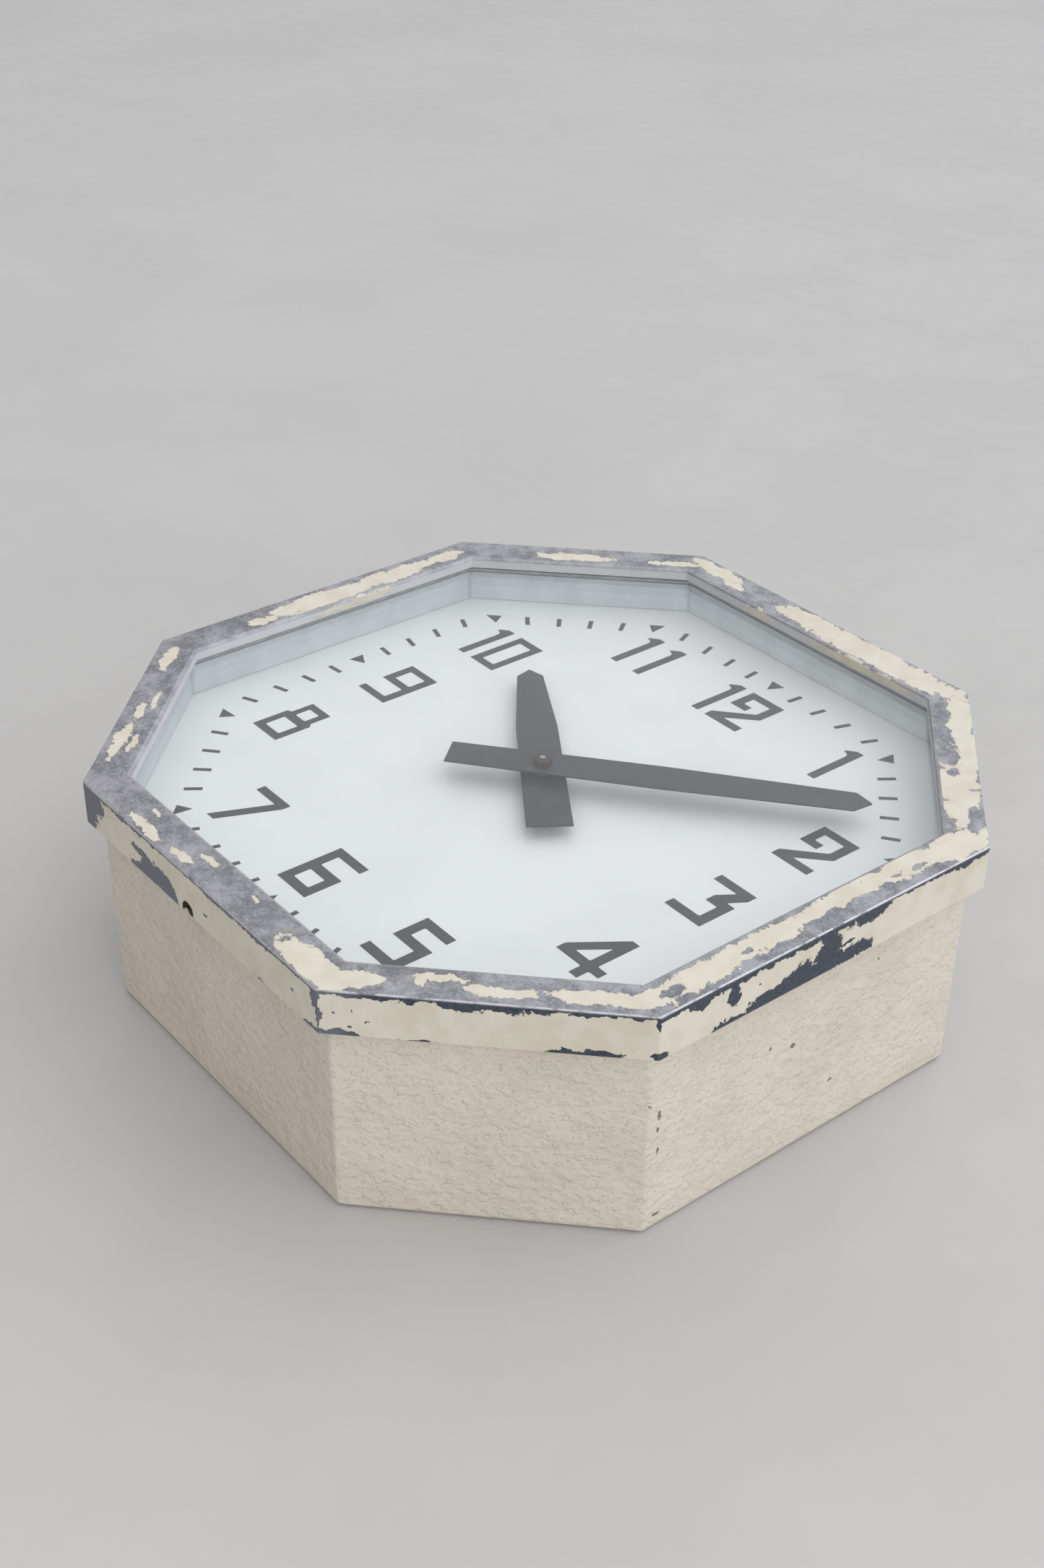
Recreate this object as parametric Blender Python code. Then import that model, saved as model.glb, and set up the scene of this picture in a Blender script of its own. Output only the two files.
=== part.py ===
"""Octagonal wall clock: a deep cast case, a hinged bezel door with its glass, two hands and the
pulse-driven movement behind the dial.

The clock lies on its back. Z runs out of the dial, Y points to 12 o'clock and X to 3 o'clock, and
the origin is the middle of the back. The hands are at about eight minutes past ten.
"""

import math

import bmesh
import bpy
from mathutils import Vector

MM = 0.001

# Outline and depth of the whole clock.
ACROSS = 400 * MM  # flat to flat, and the long sides are half of it
HEIGHT = 128 * MM
SKIRT_HEIGHT = 23.4 * MM
CASE_INSET = 7 * MM  # the case stands this far inside the bezel's skirt
CASE_WALL = 3.5 * MM
RIM_TOP = 110 * MM  # top of the case wall, hidden in the skirt
SKIRT_BOTTOM = HEIGHT - SKIRT_HEIGHT

# Bezel section.
FACE_WIDTH = 21 * MM  # flat front face
LIP_DEPTH = 6 * MM
LIP_THICKNESS = 3 * MM
FACE_THICKNESS = 3 * MM
LIP_ROLL_WIDTH = 1.7 * MM  # the face rolls down over the lip's edge
LIP_ROLL_DROP = 1.1 * MM
SHOULDER_INSET = 12 * MM  # rebate that centres the glass
SKIRT_THICKNESS = 4 * MM
BEAD_THICKNESS = 6.5 * MM  # thicker foot of the skirt
BEAD_TOP = SKIRT_BOTTOM + 4.5 * MM

# The stack behind the bezel's lip, from the front.
GAP = 0.3 * MM  # between pieces that rest on each other
GLASS_THICKNESS = 3 * MM
GLASS_TOP = HEIGHT - LIP_DEPTH - GAP
GLASS_BOTTOM = GLASS_TOP - GLASS_THICKNESS
SHEET = 1.2 * MM  # retainer sheet
DIAL_TOP = 99 * MM
RETAINER_TOP = 116.2 * MM
RETAINER_BOTTOM = DIAL_TOP + GAP
REVEAL_INSET = 16.2 * MM  # visible inner wall between glass and dial
DIAL_THICKNESS = 1.5 * MM
DIAL_INSET = 11 * MM
LEDGE_TOP = DIAL_TOP - DIAL_THICKNESS - GAP

# Hinge of the bezel door, under the skirt on the 12 o'clock side.
HINGE_Y = ACROSS / 2 - 3.5 * MM
HINGE_Z = SKIRT_BOTTOM - 3.4 * MM
HINGE_RADIUS = 3 * MM
HINGE_OFFSET = 70 * MM  # each hinge stands this far from the middle
HINGE_PIN_RADIUS = 1.45 * MM
DOOR_KNUCKLE = 12 * MM
CASE_KNUCKLE = 8 * MM

# Lock screw, in the middle of the 6 o'clock side.
LOCK_X = -5.3 * MM
LOCK_Z = 106.9 * MM
LOCK_RECESS_RADIUS = 4.6 * MM
LOCK_RECESS_DEPTH = 4.2 * MM

# Movement, hung behind the dial.
FRONT_PLATE = (84.5 * MM, 86.5 * MM)
BACK_PLATE = (56.5 * MM, 58.5 * MM)
CENTRE_WHEEL_Z = 61.5 * MM
INTERMEDIATE_WHEEL_Z = 80.4 * MM
MODULE = 0.8 * MM
CANNON_TEETH = 15
WHEEL_TEETH = 45
PINION_TEETH = 12
HOUR_TEETH = 48
CENTRE_TEETH = 60
INTERMEDIATE_PINION_TEETH = 12
INTERMEDIATE_TEETH = 45
ROTOR_PINION_TEETH = 15
GEAR_DISTANCE = (CANNON_TEETH + WHEEL_TEETH) * MODULE / 2
ROTOR_AXIS = (-42 * MM, 27 * MM)
ROTOR_RADIUS = 7 * MM
COIL_X = -36 * MM
COIL_Z = 71.5 * MM
PILLARS = ((-54.5 * MM, 39 * MM), (-54 * MM, -36 * MM), (38 * MM, -2 * MM))
DIAL_STUDS = ((-53 * MM, 6 * MM), (34 * MM, 34 * MM), (0, -38 * MM))

# Hands, as angles clockwise from 12 o'clock.
MINUTE_ANGLE = math.radians(50.8)
HOUR_ANGLE = math.radians(304.8)
MINUTE_HAND_Z = DIAL_TOP + 11.9 * MM
HOUR_HAND_Z = DIAL_TOP + 7.1 * MM
HAND_THICKNESS = 0.8 * MM

# Back of the case.
KEYHOLE_Y = 140 * MM
KEYHOLE_SLOT = 12 * MM
CABLE_ENTRY = (0, -120 * MM)
FOOT_SCREW_HOLE = (0, -150 * MM)
BLOCK = (55 * MM, -95 * MM)  # terminal block
BLOCK_SIZE = (44 * MM, 24 * MM, 16 * MM)
FLOOR = CASE_WALL + GAP  # pieces on the case floor start here

ROUND = 24  # facets of an ordinary round piece

materials = {}


# ---------------------------------------------------------------- scene helpers


def clear_scene():
    for obj in list(bpy.data.objects):
        bpy.data.objects.remove(obj)


def material(name, colour, roughness, metallic=0.0, alpha=1.0):
    made = bpy.data.materials.new(name)
    made.use_nodes = True
    shader = made.node_tree.nodes["Principled BSDF"]
    shader.inputs["Base Color"].default_value = (*colour, 1)
    shader.inputs["Roughness"].default_value = roughness
    shader.inputs["Metallic"].default_value = metallic
    shader.inputs["Alpha"].default_value = alpha
    made.diffuse_color = (*colour, alpha)
    materials[name] = made


def make_materials():
    material("case_paint", (0.60, 0.53, 0.44), 0.55)
    material("bezel_paint", (0.68, 0.64, 0.54), 0.45)
    material("clear_glass", (0.90, 0.95, 0.95), 0.05, alpha=0.25)
    material("rubber", (0.03, 0.03, 0.03), 0.8)
    material("reveal_paint", (0.42, 0.46, 0.49), 0.5)
    material("dial_enamel", (0.83, 0.85, 0.86), 0.35)
    material("hand_black", (0.03, 0.03, 0.035), 0.5)
    material("steel", (0.50, 0.50, 0.52), 0.35, 1.0)
    material("rusty_steel", (0.16, 0.11, 0.08), 0.7, 0.6)
    material("brass", (0.75, 0.58, 0.28), 0.3, 1.0)
    material("ferrite", (0.10, 0.10, 0.11), 0.6)
    material("copper_winding", (0.55, 0.22, 0.10), 0.4, 0.8)
    material("bakelite", (0.05, 0.03, 0.02), 0.4)
    material("nylon", (0.75, 0.72, 0.64), 0.5)
    material("lead_blue", (0.05, 0.12, 0.35), 0.5)
    material("lead_brown", (0.20, 0.09, 0.04), 0.5)


def object_from(name, bm, finish, at=(0, 0, 0), turn=0.0):
    """A node from a bmesh, with its faces pointing out and its own copy of the finish."""
    bmesh.ops.recalc_face_normals(bm, faces=bm.faces)
    mesh = bpy.data.meshes.new(name)
    bm.to_mesh(mesh)
    bm.free()
    obj = bpy.data.objects.new(name, mesh)
    obj.location = at
    obj.rotation_euler.z = turn
    bpy.context.scene.collection.objects.link(obj)
    if finish:
        mesh.materials.append(materials[finish])
        mesh.shade_smooth()
        mesh.set_sharp_from_angle(angle=math.radians(30))
    return obj


def empty_at(name, place):
    empty = bpy.data.objects.new(name, None)
    empty.location = place
    bpy.context.scene.collection.objects.link(empty)
    return empty


def hang_on(empty, *pieces):
    """Parents pieces to an empty on their joint's axis and leaves them where they are."""
    for piece in pieces:
        piece.parent = empty
        piece.location = piece.location - empty.location


def boolean(obj, other, operation="DIFFERENCE"):
    """Cuts other from obj or joins it on, and keeps other as a helper only."""
    other.hide_render = True
    other.display_type = "WIRE"
    modifier = obj.modifiers.new(other.name, "BOOLEAN")
    modifier.operation = operation
    modifier.solver = "EXACT"
    modifier.object = other


# ---------------------------------------------------------------- shape helpers


def outline_ring(inset, z, radius, steps):
    """The clock's eight-sided outline moved in by inset, with each corner as an arc."""
    half = ACROSS / 2 - inset
    side = ACROSS / 4 - inset * (math.sqrt(2) - 1)
    corners = [(half, -side), (half, side), (side, half), (-side, half)]
    corners += [(-x, -y) for x, y in corners]
    points = []
    for k, (x, y) in enumerate(corners):
        middle = math.radians(45 * k - 22.5)
        reach = radius / math.cos(math.radians(22.5))
        cx = x - reach * math.cos(middle)
        cy = y - reach * math.sin(middle)
        for step in range(steps + 1):
            angle = math.radians(45 * (k - 1 + step / steps))
            points.append((cx + radius * math.cos(angle), cy + radius * math.sin(angle), z))
    return points


def skin_rings(rings, closed):
    """Joins rings of points in order. A closed row of rings ends where it starts; an open one is capped."""
    bm = bmesh.new()
    loops = [[bm.verts.new(point) for point in ring] for ring in rings]
    count = len(rings[0])
    pairs = list(zip(loops, loops[1:]))
    if closed:
        pairs.append((loops[-1], loops[0]))
    for low, high in pairs:
        for i in range(count):
            j = (i + 1) % count
            bm.faces.new((low[i], low[j], high[j], high[i]))
    if not closed:
        bm.faces.new(loops[0])
        bm.faces.new(loops[-1])
    return bm


def octagon_piece(name, profile, finish, closed=True, radius=1.5 * MM, steps=2):
    """An octagonal frame, or a tub or plate when not closed, from (inset, z) points of its section."""
    rings = [outline_ring(inset, z, radius, steps) for inset, z in profile]
    return object_from(name, skin_rings(rings, closed), finish)


def octagon_bar(name, outer, inner, low, high, finish):
    return octagon_piece(name, [(outer, low), (outer, high), (inner, high), (inner, low)], finish)


def circle(radius, centre=(0, 0), steps=ROUND, start=0.0):
    return [
        (
            centre[0] + radius * math.cos(start + 2 * math.pi * i / steps),
            centre[1] + radius * math.sin(start + 2 * math.pi * i / steps),
        )
        for i in range(steps)
    ]


def rounded_box(x_low, x_high, y_low, y_high, radius, steps=3):
    """A rectangle with round corners, anticlockwise."""
    centres = (
        (x_high - radius, y_low + radius),
        (x_high - radius, y_high - radius),
        (x_low + radius, y_high - radius),
        (x_low + radius, y_low + radius),
    )
    points = []
    for k, (cx, cy) in enumerate(centres):
        for step in range(steps + 1):
            angle = math.radians(90 * (k - 1 + step / steps))
            points.append((cx + radius * math.cos(angle), cy + radius * math.sin(angle)))
    return points


def extruded(name, loops, low, high, finish, at=(0, 0, 0), turn=0.0):
    """A flat plate between two heights. The first loop is its outline and the others are holes."""
    flat = bmesh.new()
    for loop in loops:
        verts = [flat.verts.new((x, y, 0)) for x, y in loop]
        for i, vert in enumerate(verts):
            flat.edges.new((vert, verts[(i + 1) % len(verts)]))
    bmesh.ops.triangle_fill(flat, use_beauty=True, use_dissolve=False, edges=flat.edges)
    flat.verts.index_update()
    fills = [[vert.index for vert in face.verts] for face in flat.faces]
    places = [vert.co.xy for vert in flat.verts]
    flat.free()
    bm = bmesh.new()
    below = [bm.verts.new((x, y, low)) for x, y in places]
    above = [bm.verts.new((x, y, high)) for x, y in places]
    for fill in fills:
        bm.faces.new([above[i] for i in fill])
        bm.faces.new([below[i] for i in reversed(fill)])
    first = 0
    for loop in loops:
        for i in range(len(loop)):
            a = first + i
            b = first + (i + 1) % len(loop)
            bm.faces.new((below[a], below[b], above[b], above[a]))
        first += len(loop)
    return object_from(name, bm, finish, at, turn)


def turned(name, profile, finish, at=(0, 0, 0), steps=ROUND, axis="Z", closed=False):
    """A turned piece from (radius, height) points, about Z, X or Y. A closed profile is a ring."""
    bm = bmesh.new()
    rings = []
    for radius, height in profile:
        count = 1 if radius == 0 else steps
        angles = [2 * math.pi * (i + 0.5) / steps for i in range(count)]
        rings.append([bm.verts.new((radius * math.cos(a), radius * math.sin(a), height)) for a in angles])
    pairs = list(zip(rings, rings[1:]))
    if closed:
        pairs.append((rings[-1], rings[0]))
    for low, high in pairs:
        for i in range(steps):
            j = (i + 1) % steps
            corners = [low[i % len(low)], low[j % len(low)], high[j % len(high)], high[i % len(high)]]
            bm.faces.new(list(dict.fromkeys(corners)))
    if axis == "X":
        for vert in bm.verts:
            vert.co = Vector((vert.co.z, vert.co.x, vert.co.y))
    elif axis == "Y":
        for vert in bm.verts:
            vert.co = Vector((vert.co.y, vert.co.z, vert.co.x))
    return object_from(name, bm, finish, at)


def tube_ring(name, inner, outer, low, high, finish, at=(0, 0, 0), steps=ROUND, axis="Z"):
    profile = [(inner, low), (outer, low), (outer, high), (inner, high)]
    return turned(name, profile, finish, at, steps, axis, closed=True)


def rod(name, radius, low, high, finish=None, at=(0, 0, 0), steps=ROUND, axis="Z"):
    """A plain round bar: an axle with a finish, or a drill for a hole without one."""
    return turned(name, [(0, low), (radius, low), (radius, high), (0, high)], finish, at, steps, axis)


def block(name, low, high, finish=None):
    """A box between two corners, for a web or a pocket cutter."""
    bm = bmesh.new()
    bmesh.ops.create_cube(bm, size=1)
    for vert in bm.verts:
        vert.co = Vector(
            (high[i] if vert.co[i] > 0 else low[i] for i in range(3))
        )
    return object_from(name, bm, finish)


def slotted_screw(name, head, shank, finish, at, axis="Z", facing=1):
    """A cheese-head screw. Its head's underside is at height 0, and it faces up or down the axis.

    head is (radius, height) and shank is (radius, length).
    """
    head_radius, head_height = head
    shank_radius, shank_length = shank
    crown = 0.15 * head_height
    profile = [
        (0, -shank_length),
        (shank_radius * 0.8, -shank_length),
        (shank_radius, -shank_length * 0.94),
        (shank_radius, 0),
        (head_radius, 0),
        (head_radius, head_height - crown),
        (head_radius - crown, head_height),
        (0, head_height),
    ]
    profile = [(radius, facing * height) for radius, height in profile]
    screw = turned(name, profile, finish, at, 16, axis)
    half = 0.14 * head_radius
    wide = head_radius * 1.2
    ends = sorted((facing * head_height * 0.55, facing * head_height * 1.2))
    low = Vector((-wide, -half, ends[0]))
    high = Vector((wide, half, ends[1]))
    if axis == "Y":
        low = Vector((low.x, low.z, low.y))
        high = Vector((high.x, high.z, high.y))
    place = Vector(at)
    boolean(screw, block(name + "_slot", place + low, place + high))
    return screw


# ---------------------------------------------------------------- case


def knuckle_lug(name, x_low, x_high, web_low, web_high):
    """A round hinge knuckle with the web that carries it."""
    barrel = rod(name, HINGE_RADIUS, x_low, x_high, None, (0, HINGE_Y, HINGE_Z), ROUND, "X")
    web = block(name + "_web", (x_low, *web_low), (x_high, *web_high))
    boolean(barrel, web, "UNION")
    return barrel


def keyhole(head_radius, slot_radius):
    """Outline of a keyhole whose slot runs up from its round head."""
    top_y = KEYHOLE_Y + KEYHOLE_SLOT
    start = math.asin(slot_radius / head_radius)
    points = []
    for i in range(17):
        angle = math.pi / 2 + start + (2 * math.pi - 2 * start) * i / 16
        points.append((head_radius * math.cos(angle), KEYHOLE_Y + head_radius * math.sin(angle)))
    for i in range(9):
        angle = math.pi * i / 8
        points.append((slot_radius * math.cos(angle), top_y + slot_radius * math.sin(angle)))
    return points


def make_case():
    """A cast tub with the dial ledge, the lock screw's boss and the fixed hinge knuckles."""
    inner = CASE_INSET + CASE_WALL
    foot = 3 * MM  # radius of the bottom edge
    profile = []
    for i in range(5):
        angle = math.radians(90 * i / 4)
        inset = CASE_INSET + foot * (1 - math.sin(angle))
        profile.append((inset, foot * (1 - math.cos(angle))))
    profile += [
        (CASE_INSET, RIM_TOP - 0.6 * MM),
        (CASE_INSET + 0.6 * MM, RIM_TOP),
        (inner, RIM_TOP),
        (inner, LEDGE_TOP),
        (inner + 4 * MM, LEDGE_TOP),
        (inner + 4 * MM, LEDGE_TOP - 7 * MM),
        (inner, LEDGE_TOP - 13 * MM),
        (inner, CASE_WALL + 4 * MM),
        (inner + 4 * MM, CASE_WALL),
    ]
    case = octagon_piece("case_shell", profile, "case_paint", closed=False, radius=3 * MM, steps=3)

    wall_y = ACROSS / 2 - CASE_INSET
    for side, x in (("left", -HINGE_OFFSET), ("right", HINGE_OFFSET)):
        reach = DOOR_KNUCKLE / 2 + GAP
        for end, low in (("a", x - reach - CASE_KNUCKLE), ("b", x + reach)):
            web_low = (wall_y - 1 * MM, HINGE_Z - 2.9 * MM)
            web_high = (HINGE_Y, HINGE_Z + 2.6 * MM)
            lug = knuckle_lug(f"case_lug_{side}_{end}", low, low + CASE_KNUCKLE, web_low, web_high)
            boolean(case, lug, "UNION")
        hole = 1.5 * MM
        length = DOOR_KNUCKLE / 2 + CASE_KNUCKLE + 2 * MM
        at = (x, HINGE_Y, HINGE_Z)
        boolean(case, rod(f"case_pin_hole_{side}", hole, -length, length, None, at, ROUND, "X"))

    boss_y = -(ACROSS / 2 - inner)
    boss_low = (LOCK_X - 6 * MM, boss_y - 1 * MM, DIAL_TOP + 1.7 * MM)
    boss_high = (LOCK_X + 6 * MM, boss_y + 4.2 * MM, RIM_TOP - 0.4 * MM)
    boolean(case, block("lock_boss", boss_low, boss_high), "UNION")
    at = (LOCK_X, 0, LOCK_Z)
    drill = rod("lock_hole", 2.45 * MM, -ACROSS / 2, boss_y + 8 * MM, None, at, ROUND, "Y")
    boolean(case, drill)

    through = (-5 * MM, CASE_WALL + 5 * MM)
    boolean(case, extruded("keyhole_cut", [keyhole(5.5 * MM, 3 * MM)], *through, None))
    boolean(case, rod("cable_hole", 10 * MM, *through, None, (*CABLE_ENTRY, 0)))
    boolean(case, rod("cable_recess", 14 * MM, -5 * MM, 1.5 * MM, None, (*CABLE_ENTRY, 0)))
    boolean(case, rod("foot_screw_cut", 3 * MM, *through, None, (*FOOT_SCREW_HOLE, 0)))
    blind = (1.2 * MM, CASE_WALL + 3 * MM)
    for i, x in enumerate((-22 * MM, 22 * MM)):
        at = (x, KEYHOLE_Y + 4 * MM, 0)
        boolean(case, rod(f"hanger_screw_hole_{i}", 1.5 * MM, *blind, None, at, 16))


def make_hanger():
    """The steel plate behind the keyhole, held by two screws in the case floor."""
    low, high = FLOOR, FLOOR + 2 * MM
    outline = rounded_box(-32 * MM, 32 * MM, KEYHOLE_Y - 14 * MM, KEYHOLE_Y + 24 * MM, 4 * MM)
    places = [(x, KEYHOLE_Y + 4 * MM) for x in (-22 * MM, 22 * MM)]
    holes = [circle(1.7 * MM, place, 16) for place in places]
    extruded("hanger_plate", [outline, keyhole(5 * MM, 2.8 * MM), *holes], low, high, "steel")
    for i, (x, y) in enumerate(places, 1):
        at = (x, y, high + GAP)
        head, shank = (3.2 * MM, 2 * MM), (1.4 * MM, 4.2 * MM)
        slotted_screw(f"hanger_screw_{i}", head, shank, "steel", at)


def make_cable_entry():
    """Rubber grommet snapped into the back, its outer flange inside a recess."""
    bore = 4.5 * MM
    profile = [
        (bore, 0.4 * MM),
        (12.6 * MM, 0.2 * MM),
        (13 * MM, 1.2 * MM),
        (9.7 * MM, 1.2 * MM),
        (9.7 * MM, FLOOR),
        (12.6 * MM, FLOOR),
        (11 * MM, 6.2 * MM),
        (bore + 1 * MM, 7 * MM),
        (bore, 6.6 * MM),
    ]
    turned("cable_grommet", profile, "rubber", (*CABLE_ENTRY, 0), closed=True)


def make_terminal_block():
    """Two-pole terminal block on the case floor, with its clamp screws."""
    x, y = BLOCK
    wide, deep, tall = BLOCK_SIZE
    outline = rounded_box(-wide / 2, wide / 2, -deep / 2, deep / 2, 2 * MM)
    body = extruded("terminal_block", [outline], 0, tall, "bakelite", (x, y, FLOOR))
    bevel = body.modifiers.new("edges", "BEVEL")
    bevel.width = 0.8 * MM
    bevel.segments = 1
    bevel.limit_method = "ANGLE"
    bevel.angle_limit = math.radians(60)
    top = FLOOR + tall
    for i, dx in enumerate((-11 * MM, 11 * MM), 1):
        at = (x + dx, y, 0)
        boolean(body, rod(f"clamp_well_{i}", 4.6 * MM, top - 6 * MM, top + 2 * MM, None, at, 16))
        hole = rod(f"clamp_hole_{i}", 1.9 * MM, FLOOR + 2 * MM, top, None, at, 16)
        boolean(body, hole)
        head_z = top - 6 * MM + GAP
        head, shank = (3.8 * MM, 2.6 * MM), (1.8 * MM, 7 * MM)
        slotted_screw(f"clamp_screw_{i}", head, shank, "brass", (x + dx, y, head_z))
    half = deep / 2 - 1.5 * MM
    rib = block("barrier", (-1 * MM, -half, tall - 1 * MM), (1 * MM, half, tall + 3 * MM))
    rib.location = body.location
    boolean(body, rib, "UNION")


def make_lock_screw():
    """The screw that clamps the skirt's foot, its head low in the skirt's recess."""
    head_inset = 3.9 * MM
    head, shank = (4.1 * MM, 2.4 * MM), (2.4 * MM, 10.4 * MM)
    at = (LOCK_X, -(ACROSS / 2 - head_inset), LOCK_Z)
    slotted_screw("bezel_screw", head, shank, "rusty_steel", at, "Y", -1)


# ---------------------------------------------------------------- bezel door


def make_bezel_door(hinge):
    """Bezel casting, glass between two gaskets, the retainer that forms the reveal, and the seal."""
    outer_edge = 0.9 * MM  # radius of the front edge
    profile = [(0.5 * MM, SKIRT_BOTTOM), (0, SKIRT_BOTTOM + 0.5 * MM)]
    for i in range(4):
        angle = math.radians(90 * i / 3)
        inset = outer_edge * (1 - math.cos(angle))
        profile.append((inset, HEIGHT - outer_edge * (1 - math.sin(angle))))
    lip_bottom = HEIGHT - LIP_DEPTH
    underside = HEIGHT - FACE_THICKNESS
    shoulder = RETAINER_TOP + GAP
    profile += [
        (FACE_WIDTH - LIP_ROLL_WIDTH, HEIGHT),
        (FACE_WIDTH - 0.5 * MM, HEIGHT - 0.45 * MM),
        (FACE_WIDTH, HEIGHT - LIP_ROLL_DROP),
        (FACE_WIDTH, lip_bottom),
        (FACE_WIDTH - LIP_THICKNESS, lip_bottom),
        (FACE_WIDTH - LIP_THICKNESS, underside),
        (SHOULDER_INSET, underside),
        (SHOULDER_INSET, shoulder),
        (SKIRT_THICKNESS, shoulder),
        (SKIRT_THICKNESS, BEAD_TOP + 1.5 * MM),
        (BEAD_THICKNESS, BEAD_TOP),
        (BEAD_THICKNESS, SKIRT_BOTTOM),
    ]
    bezel = octagon_piece("bezel_frame", profile, "bezel_paint", radius=1.2 * MM)

    for side, x in (("left", -HINGE_OFFSET), ("right", HINGE_OFFSET)):
        half = DOOR_KNUCKLE / 2
        web_low = (HINGE_Y - 2.8 * MM, HINGE_Z)
        web_high = (ACROSS / 2 - 0.8 * MM, SKIRT_BOTTOM + 1.5 * MM)
        lug = knuckle_lug(f"door_lug_{side}", x - half, x + half, web_low, web_high)
        boolean(bezel, lug, "UNION")
        at = (x, HINGE_Y, HINGE_Z)
        reach = half + 2 * MM
        boolean(bezel, rod(f"door_pin_hole_{side}", 1.5 * MM, -reach, reach, None, at, ROUND, "X"))

    # An open-bottomed recess and slot, so the skirt lifts off the lock screw when it is slackened.
    face_y = -ACROSS / 2
    for name, radius, depth in (
        ("recess", LOCK_RECESS_RADIUS, LOCK_RECESS_DEPTH),
        ("slot", 2.8 * MM, BEAD_THICKNESS + 2 * MM),
    ):
        low, high = face_y - 5 * MM, face_y + depth
        at = (LOCK_X, 0, LOCK_Z)
        boolean(bezel, rod(f"lock_{name}", radius, low, high, None, at, ROUND, "Y"))
        corner = (LOCK_X - radius, low, SKIRT_BOTTOM - 5 * MM)
        opposite = (LOCK_X + radius, high, LOCK_Z)
        boolean(bezel, block(f"lock_{name}_mouth", corner, opposite))

    glass = octagon_piece(
        "front_glass",
        [(SHOULDER_INSET + 0.5 * MM, GLASS_BOTTOM), (SHOULDER_INSET + 0.5 * MM, GLASS_TOP)],
        "clear_glass",
        closed=False,
    )
    front_gasket = octagon_bar(
        "front_gasket",
        SHOULDER_INSET + 0.5 * MM,
        FACE_WIDTH - LIP_THICKNESS - GAP,
        GLASS_TOP + GAP,
        underside - GAP,
        "rubber",
    )
    rear_gasket = octagon_bar(
        "rear_gasket",
        SHOULDER_INSET + 0.5 * MM,
        REVEAL_INSET - 0.4 * MM,
        RETAINER_TOP + GAP,
        GLASS_BOTTOM - GAP,
        "rubber",
    )
    flange_bottom = RETAINER_TOP - SHEET
    retainer = octagon_piece(
        "glass_retainer",
        [
            (SKIRT_THICKNESS + 0.5 * MM, flange_bottom),
            (SKIRT_THICKNESS + 0.5 * MM, RETAINER_TOP),
            (REVEAL_INSET, RETAINER_TOP),
            (REVEAL_INSET, RETAINER_BOTTOM),
            (REVEAL_INSET - 1 * MM, RETAINER_BOTTOM),
            (REVEAL_INSET - 1 * MM, flange_bottom),
        ],
        "reveal_paint",
        radius=0.8 * MM,
    )
    seal = octagon_bar(
        "case_seal", 7.5 * MM, 10 * MM, RIM_TOP + GAP, flange_bottom - GAP, "rubber"
    )
    pieces = [bezel, glass, front_gasket, rear_gasket, retainer, seal]

    # Countersunk screws hold the retainer in the middle of each diagonal side.
    screw_inset = 8.2 * MM
    reach = (ACROSS / 2 * 1.5) / math.sqrt(2) - screw_inset
    for i in range(4):
        angle = math.radians(45 + 90 * i)
        at = (reach * math.cos(angle), reach * math.sin(angle), 0)
        hole = rod(f"retainer_hole_{i}", 1.25 * MM, shoulder - 1 * MM, shoulder + 5 * MM, None, at, 12)
        boolean(bezel, hole)
        sink = turned(
            f"retainer_sink_{i}",
            [
                (0, flange_bottom - 1 * MM),
                (2.4 * MM, flange_bottom - 1 * MM),
                (2.4 * MM, flange_bottom),
                (1.5 * MM, RETAINER_TOP),
                (1.5 * MM, RETAINER_TOP + 1 * MM),
                (0, RETAINER_TOP + 1 * MM),
            ],
            None,
            at,
            12,
        )
        boolean(retainer, sink)
        screw = turned(
            f"retainer_screw_{i + 1}",
            [
                (0, flange_bottom + 0.1 * MM),
                (2.05 * MM, flange_bottom + 0.1 * MM),
                (1.2 * MM, RETAINER_TOP),
                (1.2 * MM, shoulder + 4.4 * MM),
                (0, shoulder + 4.8 * MM),
            ],
            "steel",
            at,
            12,
        )
        pieces.append(screw)
    hang_on(hinge, *pieces)


def make_hinge_pins():
    length = DOOR_KNUCKLE / 2 + GAP + CASE_KNUCKLE
    for side, x in (("left", -HINGE_OFFSET), ("right", HINGE_OFFSET)):
        at = (x, HINGE_Y, HINGE_Z)
        rod(f"hinge_pin_{side}", HINGE_PIN_RADIUS, -length, length, "steel", at, ROUND, "X")


# ---------------------------------------------------------------- dial


def make_dial():
    """Sheet dial with its centre hole and the notch that clears the lock screw's boss."""
    low = DIAL_TOP - DIAL_THICKNESS
    dial = octagon_piece(
        "dial_plate", [(DIAL_INSET, low), (DIAL_INSET, DIAL_TOP)], "dial_enamel", closed=False
    )
    boolean(dial, rod("dial_hole", 4.5 * MM, low - 1 * MM, DIAL_TOP + 1 * MM))
    edge_y = -(ACROSS / 2 - DIAL_INSET)
    corner = (LOCK_X - 7 * MM, edge_y - 2 * MM, low - 1 * MM)
    boolean(dial, block("boss_notch", corner, (LOCK_X + 7 * MM, edge_y + 4.2 * MM, DIAL_TOP + 1 * MM)))
    for i, (x, y) in enumerate(DIAL_STUDS, 1):
        shoulder = FRONT_PLATE[1] + GAP
        foot = FRONT_PLATE[0] - 4.5 * MM
        profile = [
            (0, foot),
            (1.9 * MM, foot),
            (1.9 * MM, shoulder),
            (3.5 * MM, shoulder),
            (3.5 * MM, low - GAP),
            (0, low - GAP),
        ]
        turned(f"dial_stud_{i}", profile, "steel", (x, y, 0), 16)
        nut_top = FRONT_PLATE[0] - GAP
        loops = [circle(4 * MM, steps=6), circle(1.96 * MM, steps=16, start=math.pi / 16)]
        extruded(f"stud_nut_{i}", loops, nut_top - 3.2 * MM, nut_top, "steel", (x, y, 0))


# ---------------------------------------------------------------- movement


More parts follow.
